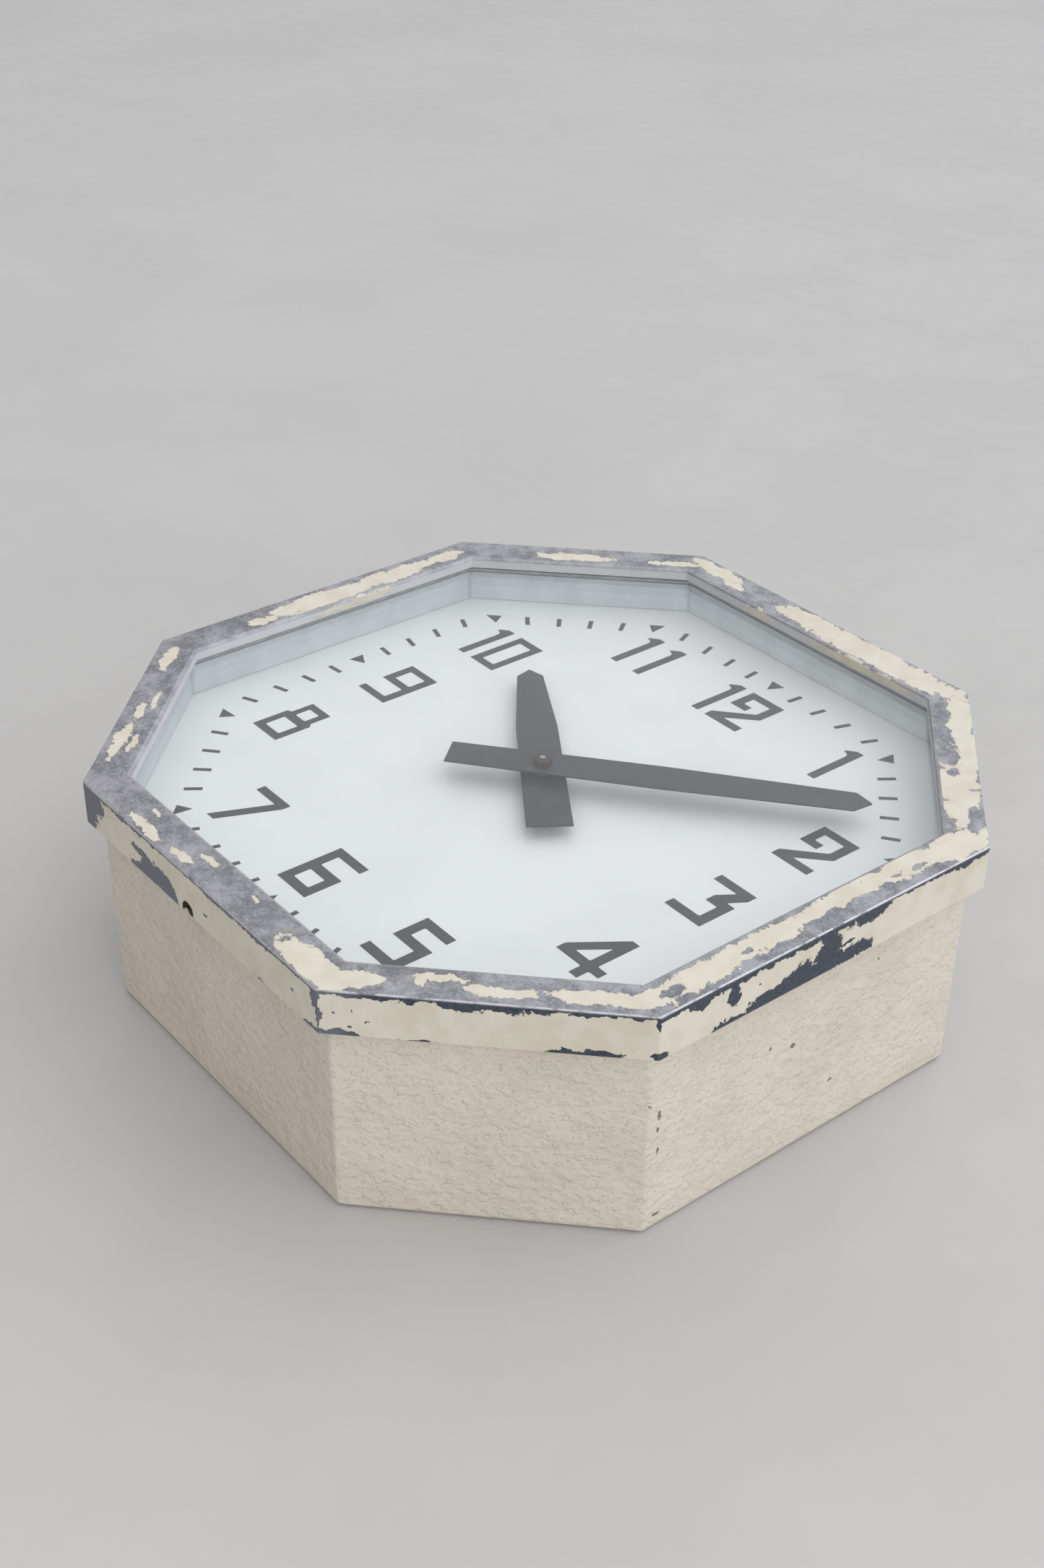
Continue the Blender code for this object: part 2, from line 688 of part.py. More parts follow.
def tooth_outline(teeth, phase, tip=0.75, root=0.95):
    """Outline of a gear with a tooth centred at the phase angle. Tip and root are in modules."""
    pitch_radius = teeth * MODULE / 2
    quarter = math.pi * MODULE / 4  # half a tooth at the pitch circle
    rows = (
        (pitch_radius - root * MODULE, quarter * 1.2),
        (pitch_radius + tip * MODULE, quarter * 0.42),
    )
    points = []
    for k in range(teeth):
        centre = phase + 2 * math.pi * k / teeth
        for radius, width in rows:
            angle = centre - width / radius
            points.append((radius * math.cos(angle), radius * math.sin(angle)))
        for radius, width in reversed(rows):
            angle = centre + width / radius
            points.append((radius * math.cos(angle), radius * math.sin(angle)))
    return points


def intermediate_axis():
    """Where the intermediate arbor stands, so that it meshes with both the centre wheel and the rotor."""
    to_centre = (CENTRE_TEETH + INTERMEDIATE_PINION_TEETH) * MODULE / 2
    to_rotor = (INTERMEDIATE_TEETH + ROTOR_PINION_TEETH) * MODULE / 2
    rotor = Vector(ROTOR_AXIS)
    along = (to_centre**2 - to_rotor**2 + rotor.length_squared) / (2 * rotor.length)
    aside = math.sqrt(to_centre**2 - along**2)
    direction = rotor.normalized()
    place = direction * along + Vector((-direction.y, direction.x)) * -aside
    return place.x, place.y


def make_plates():
    """Front and back plates with their studs, held apart by three pillars and three screws."""
    pillar_hole = 1.4 * MM
    outline = rounded_box(-60 * MM, 46 * MM, -44 * MM, 44 * MM, 6 * MM)
    pivots = [circle(1.45 * MM)]
    pivots += [circle(1.25 * MM, place, 16) for place in (ROTOR_AXIS, intermediate_axis())]
    holes = [circle(2 * MM, place, 16) for place in DIAL_STUDS]
    front = extruded("movement_front_plate", [outline, *pivots, *holes], *FRONT_PLATE, "brass")
    stud = rod(
        "wheel_stud", 1.45 * MM, FRONT_PLATE[0] + 0.5 * MM, 95 * MM, None, (GEAR_DISTANCE, 0, 0)
    )
    boolean(front, stud, "UNION")
    holes = [circle(pillar_hole, place, 16) for place in PILLARS]
    extruded("movement_back_plate", [outline, *pivots, *holes], *BACK_PLATE, "brass")
    for i, (x, y) in enumerate(PILLARS, 1):
        low = BACK_PLATE[1] + GAP
        high = FRONT_PLATE[0] - GAP
        profile = [
            (0, low + 9 * MM),
            (pillar_hole, low + 9 * MM),
            (pillar_hole, low),
            (3 * MM, low),
            (3 * MM, high),
            (0, high),
        ]
        turned(f"movement_pillar_{i}", profile, "brass", (x, y, 0), 16)
        at = (x, y, BACK_PLATE[0] - GAP)
        screw_profile = [
            (0, -2.2 * MM),
            (2.6 * MM, -2.2 * MM),
            (3 * MM, -1.8 * MM),
            (3 * MM, 0),
            (1.32 * MM, 0),
            (1.32 * MM, 9.5 * MM),
            (0, 9.9 * MM),
        ]
        turned(f"movement_screw_{i}", screw_profile, "steel", at, 16)


def pole_arc(gap_from, gap_to):
    """Points of a pole face, an arc round the rotor between two angles in degrees."""
    radius = ROTOR_RADIUS + 0.6 * MM
    steps = 6
    points = []
    for i in range(steps + 1):
        angle = math.radians(gap_from + (gap_to - gap_from) * i / steps)
        points.append((ROTOR_AXIS[0] + radius * math.cos(angle), ROTOR_AXIS[1] + radius * math.sin(angle)))
    return points


def make_magnet():
    """Coil on its bobbin, the iron core through it, and the yoke and shoe whose poles face the rotor."""
    low_y, high_y = -22 * MM, 6 * MM
    flange = 1.5 * MM
    bobbin = [
        (4.8 * MM, low_y),
        (11.5 * MM, low_y),
        (11.5 * MM, low_y + flange),
        (6 * MM, low_y + flange),
        (6 * MM, high_y - flange),
        (11.5 * MM, high_y - flange),
        (11.5 * MM, high_y),
        (4.8 * MM, high_y),
    ]
    at = (COIL_X, 0, COIL_Z)
    turned("coil_bobbin", bobbin, "nylon", at, ROUND, "Y", closed=True)
    low = low_y + flange + GAP
    high = high_y - flange - GAP
    tube_ring("coil_winding", 6.3 * MM, 10.4 * MM, low, high, "copper_winding", at, ROUND, "Y")
    rod("magnet_core", 4.5 * MM, -24 * MM, 8.5 * MM, "steel", at, ROUND, "Y")
    faces = (COIL_Z - 7.5 * MM, COIL_Z + 7.5 * MM)
    yoke = [
        (-53 * MM, -27.3 * MM),
        (-27 * MM, -27.3 * MM),
        (-27 * MM, -24.3 * MM),
        (-49.5 * MM, -24.3 * MM),
        (-49.5 * MM, 20 * MM),
        *pole_arc(235, 125),
        (-49.5 * MM, 34 * MM),
        (-53 * MM, 34 * MM),
    ]
    extruded("magnet_yoke", [yoke], *faces, "steel")
    shoe = [
        (-41 * MM, 8.8 * MM),
        (-30.5 * MM, 8.8 * MM),
        (-30.5 * MM, 34 * MM),
        (-34.5 * MM, 34 * MM),
        *pole_arc(55, -55),
        (-34.5 * MM, 12.3 * MM),
        (-41 * MM, 12.3 * MM),
    ]
    extruded("pole_shoe", [shoe], *faces, "steel")


def pinion_arbor(name, place, teeth, phase, pinion_low, pinion_high):
    """A steel arbor with its pinion cut from the same bar and thinner pivots in the plates."""
    body, pivot = 1.6 * MM, 1.2 * MM
    shoulders = (BACK_PLATE[1] + GAP, FRONT_PLATE[0] - GAP)
    profile = [
        (0, BACK_PLATE[0] - 0.3 * MM),
        (pivot, BACK_PLATE[0] - 0.3 * MM),
        (pivot, shoulders[0]),
        (body, shoulders[0]),
        (body, shoulders[1]),
        (pivot, shoulders[1]),
        (pivot, FRONT_PLATE[1] + 0.3 * MM),
        (0, FRONT_PLATE[1] + 0.3 * MM),
    ]
    arbor = turned(name, profile, "steel", (*place, 0), 16)
    outline = tooth_outline(teeth, phase)
    leaves = extruded(name + "_teeth", [outline], pinion_low, pinion_high, None, (*place, 0))
    boolean(arbor, leaves, "UNION")
    return arbor


def make_rotor(axis):
    """Four-pole rotor, which turns a quarter turn at each pulse."""
    place = intermediate_axis()
    back = math.atan2(ROTOR_AXIS[1] - place[1], ROTOR_AXIS[0] - place[0]) + math.pi
    low = INTERMEDIATE_WHEEL_Z - 0.5 * MM
    high = INTERMEDIATE_WHEEL_Z + 2.5 * MM
    arbor = pinion_arbor("rotor_arbor", ROTOR_AXIS, ROTOR_PINION_TEETH, back, low, high)
    low = COIL_Z - 5.5 * MM
    high = COIL_Z + 5.5 * MM
    magnet = tube_ring("rotor_magnet", 1.7 * MM, ROTOR_RADIUS, low, high, "ferrite", (*ROTOR_AXIS, 0))
    hang_on(axis, arbor, magnet)


def make_intermediate(axis):
    """The wheel the rotor turns and, on the same arbor, the pinion that turns the centre wheel."""
    place = intermediate_axis()
    back = math.atan2(place[1], place[0]) + math.pi
    out = math.atan2(ROTOR_AXIS[1] - place[1], ROTOR_AXIS[0] - place[0])
    low = CENTRE_WHEEL_Z - 0.5 * MM
    high = CENTRE_WHEEL_Z + 2.5 * MM
    arbor = pinion_arbor("intermediate_arbor", place, INTERMEDIATE_PINION_TEETH, back, low, high)
    wheel = extruded(
        "intermediate_wheel",
        [tooth_outline(INTERMEDIATE_TEETH, out + math.pi / INTERMEDIATE_TEETH), circle(1.7 * MM)],
        INTERMEDIATE_WHEEL_Z,
        INTERMEDIATE_WHEEL_Z + 2 * MM,
        "brass",
        (*place, 0),
    )
    hang_on(axis, arbor, wheel)


def wire(name, points, radius, finish):
    """A round wire along points, as a closed tube."""
    curve = bpy.data.curves.new(name, "CURVE")
    curve.dimensions = "3D"
    curve.bevel_depth = radius
    curve.bevel_resolution = 1
    curve.use_fill_caps = True
    spline = curve.splines.new("POLY")
    spline.points.add(len(points) - 1)
    for point, place in zip(spline.points, points):
        point.co = (*place, 1)
    curve.materials.append(materials[finish])
    obj = bpy.data.objects.new(name, curve)
    bpy.context.scene.collection.objects.link(obj)
    return obj


def make_going_train(centre, wheel_axis):
    """Centre arbor with its wheel and cannon pinion, the minute wheel and the hour wheel."""
    arbor_radius = 1.4 * MM
    arbor = rod("centre_arbor", arbor_radius, 55.5 * MM, MINUTE_HAND_Z + 4.1 * MM, "steel")
    bore = circle(1.45 * MM)
    place = intermediate_axis()
    gap_at = math.atan2(place[1], place[0])
    centre_teeth = tooth_outline(CENTRE_TEETH, gap_at + math.pi / CENTRE_TEETH)
    centre_wheel = extruded(
        "centre_wheel", [centre_teeth, bore], CENTRE_WHEEL_Z, CENTRE_WHEEL_Z + 2 * MM, "brass"
    )
    teeth_low = FRONT_PLATE[1] + 0.8 * MM
    teeth_high = teeth_low + 3 * MM
    cannon = extruded(
        "cannon_pinion", [tooth_outline(CANNON_TEETH, 0), bore], teeth_low, teeth_high, "steel"
    )
    pipe = tube_ring(
        "cannon_pipe", 1.45 * MM, 2.4 * MM, teeth_high - 0.5 * MM, MINUTE_HAND_Z + 0.9 * MM, None
    )
    boolean(cannon, pipe, "UNION")
    hang_on(centre, arbor, centre_wheel, cannon)

    facing = math.pi  # the direction from the minute wheel back to the centre arbor
    wheel_low = teeth_low + 0.5 * MM
    wheel = extruded(
        "minute_wheel",
        [tooth_outline(WHEEL_TEETH, facing + math.pi / WHEEL_TEETH), circle(1.5 * MM)],
        wheel_low,
        wheel_low + 2 * MM,
        "brass",
        (GEAR_DISTANCE, 0, 0),
    )
    pinion_low = wheel_low + 2.3 * MM
    pinion = extruded(
        "minute_pinion",
        [tooth_outline(PINION_TEETH, facing), circle(1.5 * MM)],
        pinion_low,
        pinion_low + 3.2 * MM,
        "steel",
        (GEAR_DISTANCE, 0, 0),
    )
    hang_on(wheel_axis, wheel, pinion)

    hour_low = pinion_low + 0.5 * MM
    hour_bore = 2.46 * MM
    hour = extruded(
        "hour_wheel",
        [tooth_outline(HOUR_TEETH, math.pi / HOUR_TEETH), circle(hour_bore)],
        hour_low,
        hour_low + 2 * MM,
        "brass",
    )
    tube = tube_ring("hour_tube", hour_bore, 3.4 * MM, hour_low + 1 * MM, HOUR_HAND_Z + 1 * MM, None)
    boolean(hour, tube, "UNION")
    hang_on(centre, hour)


def hand_outline(tail, tail_half, belly, belly_half, shoulder, shoulder_half, tip):
    """A flat hand along Y: near parallel from its tail to its belly, then narrowing to a point."""
    return [
        (-tail_half, -tail),
        (tail_half, -tail),
        (belly_half, belly),
        (shoulder_half, shoulder),
        (0, tip),
        (-shoulder_half, shoulder),
        (-belly_half, belly),
    ]


def make_hands(centre):
    minute = extruded(
        "minute_hand",
        [
            hand_outline(48.5 * MM, 9.3 * MM, 60 * MM, 10.2 * MM, 155 * MM, 7.9 * MM, 163 * MM),
            circle(2.45 * MM),
        ],
        MINUTE_HAND_Z,
        MINUTE_HAND_Z + HAND_THICKNESS,
        "hand_black",
        turn=-MINUTE_ANGLE,
    )
    hour = extruded(
        "hour_hand",
        [
            hand_outline(49.5 * MM, 11.5 * MM, 43 * MM, 10.8 * MM, 96.2 * MM, 7 * MM, 103.2 * MM),
            circle(3.45 * MM),
        ],
        HOUR_HAND_Z,
        HOUR_HAND_Z + HAND_THICKNESS,
        "hand_black",
        turn=-HOUR_ANGLE,
    )
    minute_collet = tube_ring(
        "minute_collet", 2.45 * MM, 6 * MM, HOUR_HAND_Z + 1.5 * MM, MINUTE_HAND_Z - GAP, "brass"
    )
    hour_collet = tube_ring(
        "hour_collet", 3.45 * MM, 7 * MM, DIAL_TOP + 3.6 * MM, HOUR_HAND_Z - GAP, "brass"
    )
    nut_low = MINUTE_HAND_Z + HAND_THICKNESS + 0.4 * MM
    nut_high = MINUTE_HAND_Z + 3.7 * MM
    chamfer = 0.5 * MM
    nut = turned(
        "hub_nut",
        [
            (1.45 * MM, nut_low),
            (4.6 * MM, nut_low),
            (4.6 * MM, nut_high - chamfer),
            (4.6 * MM - chamfer, nut_high),
            (1.45 * MM, nut_high),
        ],
        "rusty_steel",
        closed=True,
    )
    hang_on(centre, minute, hour, minute_collet, hour_collet, nut)


# ---------------------------------------------------------------- inner leads


def smooth_route(stops, per_span):
    """Points on a smooth curve through the stops."""
    ends = [stops[0], *stops, stops[-1]]
    points = []
    for a, b, c, d in zip(ends, ends[1:], ends[2:], ends[3:]):
        for i in range(per_span):
            t = i / per_span
            points.append(
                tuple(
                    0.5
                    * (
                        2 * b[k]
                        + (c[k] - a[k]) * t
                        + (2 * a[k] - 5 * b[k] + 4 * c[k] - d[k]) * t * t
                        + (3 * b[k] - a[k] - 3 * c[k] + d[k]) * t**3
                    )
                    for k in range(3)
                )
            )
    points.append(stops[-1])
    return points


def make_leads():
    """The two slack wires from the coil to the terminal block."""
    block_top = FLOOR + BLOCK_SIZE[2]
    for name, finish, start_x, lane, end_x in (
        ("coil_lead_blue", "lead_blue", -28 * MM, 0, BLOCK[0] - 17 * MM),
        ("coil_lead_brown", "lead_brown", -32 * MM, -6 * MM, BLOCK[0] + 3 * MM),
    ):
        stops = [
            (start_x, -23.9 * MM, 61.2 * MM),
            (start_x + 1 * MM, -36 * MM, 61.2 * MM),
            (start_x + 5 * MM, -50 * MM + lane, 58 * MM),
            (-8 * MM, -70 * MM + lane, 44 * MM),
            (14 * MM, -86 * MM + lane, 32 * MM),
            (end_x - 8 * MM, -88 * MM, block_top + 8 * MM),
            (end_x, -95 * MM, block_top + 1.5 * MM),
        ]
        wire(name, smooth_route(stops, 5), 0.9 * MM, finish)


def main():
    clear_scene()
    make_materials()
    centre = empty_at("hands_axis", (0, 0, 0))
    wheel_axis = empty_at("minute_wheel_axis", (GEAR_DISTANCE, 0, 0))
    hinge = empty_at("bezel_hinge_axis", (0, HINGE_Y, HINGE_Z))
    rotor_axis = empty_at("rotor_axis", (*ROTOR_AXIS, 0))
    train_axis = empty_at("intermediate_axis", (*intermediate_axis(), 0))
    make_case()
    make_hanger()
    make_cable_entry()
    make_terminal_block()
    make_lock_screw()
    make_bezel_door(hinge)
    make_hinge_pins()
    make_dial()
    make_plates()
    make_magnet()
    make_rotor(rotor_axis)
    make_intermediate(train_axis)
    make_going_train(centre, wheel_axis)
    make_hands(centre)
    make_leads()


main()
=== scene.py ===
"""An eight-sided wall clock lying on its back: a worn painted bezel over a glazed dial."""

import math

import bpy
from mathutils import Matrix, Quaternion, Vector


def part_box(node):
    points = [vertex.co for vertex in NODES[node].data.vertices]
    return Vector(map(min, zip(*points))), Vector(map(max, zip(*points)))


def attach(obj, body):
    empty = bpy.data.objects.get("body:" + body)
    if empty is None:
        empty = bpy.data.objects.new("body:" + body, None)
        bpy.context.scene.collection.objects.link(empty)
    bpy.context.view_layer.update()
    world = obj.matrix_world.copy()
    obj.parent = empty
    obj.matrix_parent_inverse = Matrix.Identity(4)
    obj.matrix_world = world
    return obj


MM = 0.001

# ---------------------------------------------------------------- the frame
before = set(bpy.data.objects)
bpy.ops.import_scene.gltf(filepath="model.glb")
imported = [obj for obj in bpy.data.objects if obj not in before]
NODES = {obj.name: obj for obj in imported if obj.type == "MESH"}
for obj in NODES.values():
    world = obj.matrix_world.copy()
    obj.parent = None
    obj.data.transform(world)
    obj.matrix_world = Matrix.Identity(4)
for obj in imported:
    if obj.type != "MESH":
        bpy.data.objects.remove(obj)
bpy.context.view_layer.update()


def box_mm(node):
    """The lowest and highest corners of a piece of the frame, in millimetres."""
    return [[round(value / MM, 2) for value in corner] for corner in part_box(node)]


# ---------------------------------------------------------------- the octagon
# A side is named by the clockwise angle of its outward normal from 12 o'clock.
# Along a side, s runs clockwise from its middle. Inset is measured inwards from the outer face.
STRAIGHT_APOTHEM, _, TOP_Z = box_mm("bezel_frame")[1]
STRAIGHT_HALF_SIDE = 100.0
DIAGONAL_APOTHEM = (STRAIGHT_APOTHEM + STRAIGHT_HALF_SIDE) * math.sqrt(0.5)
CASE_INSET = STRAIGHT_APOTHEM - box_mm("case_shell")[1][0]


def apothem(side):
    """The distance from the centre to a side's outer face."""
    return STRAIGHT_APOTHEM if side % 90 == 0 else DIAGONAL_APOTHEM


# ---------------------------------------------------------------- materials
class Look:
    """A node material with one Principled shader, and short calls that add nodes to it."""

    def __init__(self, name, **constants):
        self.material = bpy.data.materials.new(name)
        self.material.use_nodes = True
        self.tree = self.material.node_tree
        self.tree.nodes.clear()
        self.output = self.node("OutputMaterial")
        self.shader = self.node("BsdfPrincipled")
        self.feed(self.output.inputs["Surface"], self.shader.outputs["BSDF"])
        self.place = self.node("TexCoord").outputs["Object"]
        self.set(**constants)

    def node(self, kind, feeds=None, **settings):
        """A new shader node, with a value or another node's output fed to each named input."""
        made = self.tree.nodes.new("ShaderNode" + kind)
        for key, value in settings.items():
            setattr(made, key, value)
        for key, value in (feeds or {}).items():
            self.feed(made.inputs[key], value)
        return made

    def feed(self, socket, value):
        """Links a node's output to the socket, or sets the socket to a plain value."""
        if isinstance(value, bpy.types.NodeSocket):
            self.tree.links.new(value, socket)
        elif socket.type == "RGBA" and len(value) == 3:
            socket.default_value = (*value, 1.0)
        else:
            socket.default_value = value

    def set(self, **inputs):
        """Feeds the Principled shader: base_color=..., roughness=..."""
        names = {"ior": "IOR", "coat_ior": "Coat IOR", "specular": "Specular IOR Level"}
        for key, value in inputs.items():
            name = names.get(key, key.replace("_", " ").title())
            self.feed(self.shader.inputs[name], value)

    def math(self, operation, first, second=0.0, third=0.0, clamp=False):
        feeds = {0: first, 1: second, 2: third}
        made = self.node("Math", feeds, operation=operation, use_clamp=clamp)
        return made.outputs[0]

    def vector(self, operation, first, second=(0.0, 0.0, 0.0), scale=1.0):
        made = self.node("VectorMath", {0: first, 1: second, 3: scale}, operation=operation)
        return made.outputs["Value" if operation in ("LENGTH", "DOT_PRODUCT") else "Vector"]

    def parts(self, vector):
        return self.node("SeparateXYZ", {0: vector}).outputs

    def mix(self, factor, first, second):
        made = self.node("Mix", data_type="RGBA")
        self.feed(made.inputs[0], factor)
        self.feed(made.inputs[6], first)
        self.feed(made.inputs[7], second)
        return made.outputs[2]

    def blend(self, factor, first, second):
        """A number between two numbers."""
        feeds = {0: factor, 2: first, 3: second}
        return self.node("Mix", feeds, data_type="FLOAT").outputs[0]

    def step(self, value, start, end, first=0.0, last=1.0):
        """A smooth change from first to last as value goes from start to end."""
        feeds = {0: value, 1: start, 2: end, 3: first, 4: last}
        return self.node("MapRange", feeds, interpolation_type="SMOOTHSTEP").outputs[0]

    def noise(self, size, detail=3.0, rough=0.55, at=None, colour=False):
        """Cloudy noise whose lumps are about size millimetres across."""
        feeds = {
            "Vector": at or self.place,
            "Scale": 1.0 / (size * MM),
            "Detail": detail,
            "Roughness": rough,
        }
        return self.node("TexNoise", feeds).outputs["Color" if colour else "Fac"]

    def stretched(self, x, y, z):
        """The place with each axis divided, so that noise on it runs long that way."""
        return self.vector("MULTIPLY", self.place, (1.0 / x, 1.0 / y, 1.0 / z))

    def shaken(self, *layers):
        """The place, pushed about by noise: each layer is (size, reach) in millimetres."""
        at = self.place
        for size, reach in layers:
            push = self.vector("SUBTRACT", self.noise(size, colour=True), (0.5, 0.5, 0.5))
            push = self.vector("SCALE", push, scale=2.0 * reach * MM)
            at = self.vector("ADD", at, push)
        return at

    def facing(self, at, side):
        """A place as (s, distance out, height) in millimetres for one side."""
        angle = math.radians(side)
        along = (math.cos(angle) / MM, -math.sin(angle) / MM, 0.0)
        out = (math.sin(angle) / MM, math.cos(angle) / MM, 0.0)
        feeds = {
            0: self.vector("DOT_PRODUCT", at, along),
            1: self.vector("DOT_PRODUCT", at, out),
            2: self.vector("DOT_PRODUCT", at, (0.0, 0.0, 1.0 / MM)),
        }
        return self.node("CombineXYZ", feeds).outputs[0]

    def patches(self, at, table):
        """How far a place is from the nearest patch, where 1 is a patch's edge.

        table is {side: [(centre, half sizes)]}, each in that side's own millimetres.
        """
        least = None
        for side, rows in table.items():
            local = self.facing(at, side)
            for centre, halves in rows:
                inverse = [1.0 / half for half in halves]
                shift = [-middle / half for middle, half in zip(centre, halves)]
                feeds = {0: local, 1: inverse, 2: shift}
                scaled = self.node("VectorMath", feeds, operation="MULTIPLY_ADD")
                found = self.vector("LENGTH", scaled.outputs[0])
                least = found if least is None else self.math("MINIMUM", least, found)
        return least

    def bump(self, height, reach, under=None):
        """height from 0 to 1 stands for reach millimetres."""
        feeds = {"Height": height, "Distance": reach * MM}
        if under is not None:
            feeds["Normal"] = under
        return self.node("Bump", feeds).outputs[0]

    def octagon(self):
        """(inset, mitre): millimetres inwards from the outer face, and a measure that is 0 at a corner."""
        across = self.vector("SCALE", self.vector("ABSOLUTE", self.place), scale=1.0 / MM)
        x, y = self.parts(across)[:2]
        straight = self.math("MAXIMUM", x, y)
        diagonal = self.math("MULTIPLY", self.math("ADD", x, y), math.sqrt(0.5))
        inset_straight = self.math("SUBTRACT", STRAIGHT_APOTHEM, straight)
        inset_diagonal = self.math("SUBTRACT", DIAGONAL_APOTHEM, diagonal)
        inset = self.math("MINIMUM", inset_straight, inset_diagonal)
        mitre = self.math("ABSOLUTE", self.math("SUBTRACT", inset_straight, inset_diagonal))
        return inset, mitre

    def height(self):
        """Height above the wall face in millimetres."""
        return self.math("MULTIPLY", self.parts(self.place)[2], 1.0 / MM)


# How far a patch reaches through the face that it lies on, in millimetres.
PATCH_DEPTH = 3.0


def on_top(table):
    """Patches of the top face, from {side: [(s, inset, half length, half width)]}."""
    found = {}
    for side, rows in table.items():
        out = apothem(side)
        found[side] = [
            ((s, out - inset, TOP_Z), (long, wide, PATCH_DEPTH)) for s, inset, long, wide in rows
        ]
    return found


def on_wall(table, inset=0.0):
    """Patches of an upright face, from {side: [(s, z, half length, half height)]}."""
    found = {}
    for side, rows in table.items():
        out = apothem(side) - inset
        found[side] = [((s, out, z), (long, PATCH_DEPTH, high)) for s, z, long, high in rows]
    return found


# Paint left on the bezel's top face: side: [(s, inset, half length, half width)], in mm.
TOP_PAINT = {
    0: [(-80, 7, 19, 5), (-62, 12, 8, 3), (45, 10, 62, 9), (0, 9, 30, 7)],
    45: [(-45, 6, 28, 6), (-10, 5, 30, 5), (20, 11, 35, 9.5)],
    90: [
        (-90, 10, 20, 8.5), (-60, 13, 20, 7), (-25, 14, 28, 5.5), (0, 13, 12, 4),
        (28, 12, 22, 6.0), (62, 10.9, 34, 6.7), (90, 12, 12, 4.5),
    ],
    135: [
        (-49, 9.0, 26, 4.7), (-5, 7.2, 13.5, 3.1), (4.5, 9, 7.5, 3.0), (22, 13.8, 12, 1.5),
        (29.5, 10.6, 2.4, 3.6), (55, 9, 12, 5.6),
    ],
    180: [
        (-85, 8, 24, 7.5), (17, 5.5, 8, 2), (6, 14, 6, 1.6), (48, 4, 14, 2.5),
        (55, 14, 4, 1.2), (-31, 15, 4, 1.2),
    ],
    225: [(-32, 7, 17, 3), (-34, 14, 8, 2), (-4, 8.5, 8, 2.5), (52, 9, 13, 3.5), (8, 14, 8, 1.5)],
    270: [(80, 10, 12, 4), (40, 11, 30, 6.5), (-5, 12, 35, 7.5), (-45, 14, 10, 4)],
    315: [(-3, 12, 22, 4.5), (55, 13, 14, 3)],
}
# Bare spots within that paint.
TOP_BARE = {
    0: [(-40, 9, 11, 6)],
    45: [(-5, 14, 8, 5), (8, 12, 3, 3), (50, 5, 12, 4), (-55, 16, 14, 4)],
    90: [(85, 10, 7, 3.3), (42, 11, 4.5, 1.6), (-62, 9, 5, 1.8), (-50, 11, 3, 1.2)],
}
# Paint left on the lip's inner face, at this inset.
LIP_INSET = 21.0
LIP_PAINT = {0: [(46, 125, 42, 2.6), (-33, 125, 12, 2.4)], 270: [(10, 125, 30, 2.0)]}
# Bare spots on the skirt: side: [(s, z, half length, half height)].
SKIRT_BARE = {
    0: [(-60, 128, 50, 2.5), (30, 128, 60, 3.0), (-20, 112, 14, 4), (60, 107, 20, 3)],
    45: [(-30, 128, 45, 2.4), (40, 128, 36, 3.4), (10, 110, 10, 4), (-50, 106, 12, 2)],
    90: [
        (-83, 128, 22, 4.4), (-50, 128, 20, 2.4), (-22, 128, 16, 6.6), (20, 128, 36, 4.4),
        (62, 128, 26, 4.6), (77, 128, 10, 6.0), (95, 128, 10, 4.2), (-11, 108.5, 15, 4.6),
        (3, 114, 9, 13), (17, 107, 17, 10), (36, 105.5, 20, 6), (58, 105, 14, 3.4),
        (-9, 116, 5, 1.2), (59, 119.5, 3.4, 5.5), (98, 107, 4, 3), (45, 119, 0.9, 0.9),
    ],
    135: [
        (-46, 128, 30, 2.6), (2, 128, 32, 4.9), (45, 128, 30, 3.4), (-70.4, 123.5, 0.9, 3.5),
        (71, 117, 1.0, 9), (-40, 105.5, 17, 2.5), (-32, 107.5, 3, 1.5), (30, 104.8, 10, 0.9),
        (63, 105.5, 10, 2.5), (-70, 107, 2.4, 2.5), (58, 109.5, 0.9, 0.7), (50, 113, 0.7, 0.6),
        (63, 116.5, 0.8, 0.8), (56, 118, 0.6, 0.6),
    ],
    180: [
        (-40, 128, 60, 2.6), (60, 128, 45, 2.8), (-98, 123.5, 2.4, 5), (-94, 105.5, 6, 2),
        (-82.3, 116, 1.3, 1.3), (-54.5, 105.2, 2.2, 0.8), (-11, 113.6, 2.3, 1.2),
        (26, 109.5, 10, 6.5), (38, 112, 11, 5.5), (47, 116.5, 8.5, 2.2), (42, 107, 11, 4.5),
        (22, 106, 9, 4), (52, 106, 5, 2.4), (96, 121, 16, 10), (100, 110, 11, 10),
    ],
    225: [(-62, 116, 14, 13), (-20, 128, 40, 3.4), (40, 128, 36, 2.6), (22, 108, 15, 5)],
    270: [(-50, 128, 52, 3.2), (45, 128, 60, 2.4), (-30, 113, 10, 5), (70, 106, 18, 3)],
    315: [(0, 128, 66, 3.0), (-35, 109, 13, 4), (48, 114, 9, 5)],
}
LOCK_RECESS_RADIUS = 4.6
# Between these heights the skirt's paint is chipped away more and more towards the rim.
RIM_CHIPS_LOW = 124.9
RIM_CHIPS_HIGH = 127.2
# Where a height or an inset passes from one face of the bezel to the next.
SKIRT_TO_TOP = (127.4, 127.8)
TOP_TO_LIP = (19.2, 19.4)
ROLL_TO_LIP_WALL = (126.9, 126.3)
# The paint ends where a patch's measure passes these, and breaks off over this distance.
PAINT_ENDS = 1.06
BARE_ENDS = 1.0
PAINT_BREAK = 0.035
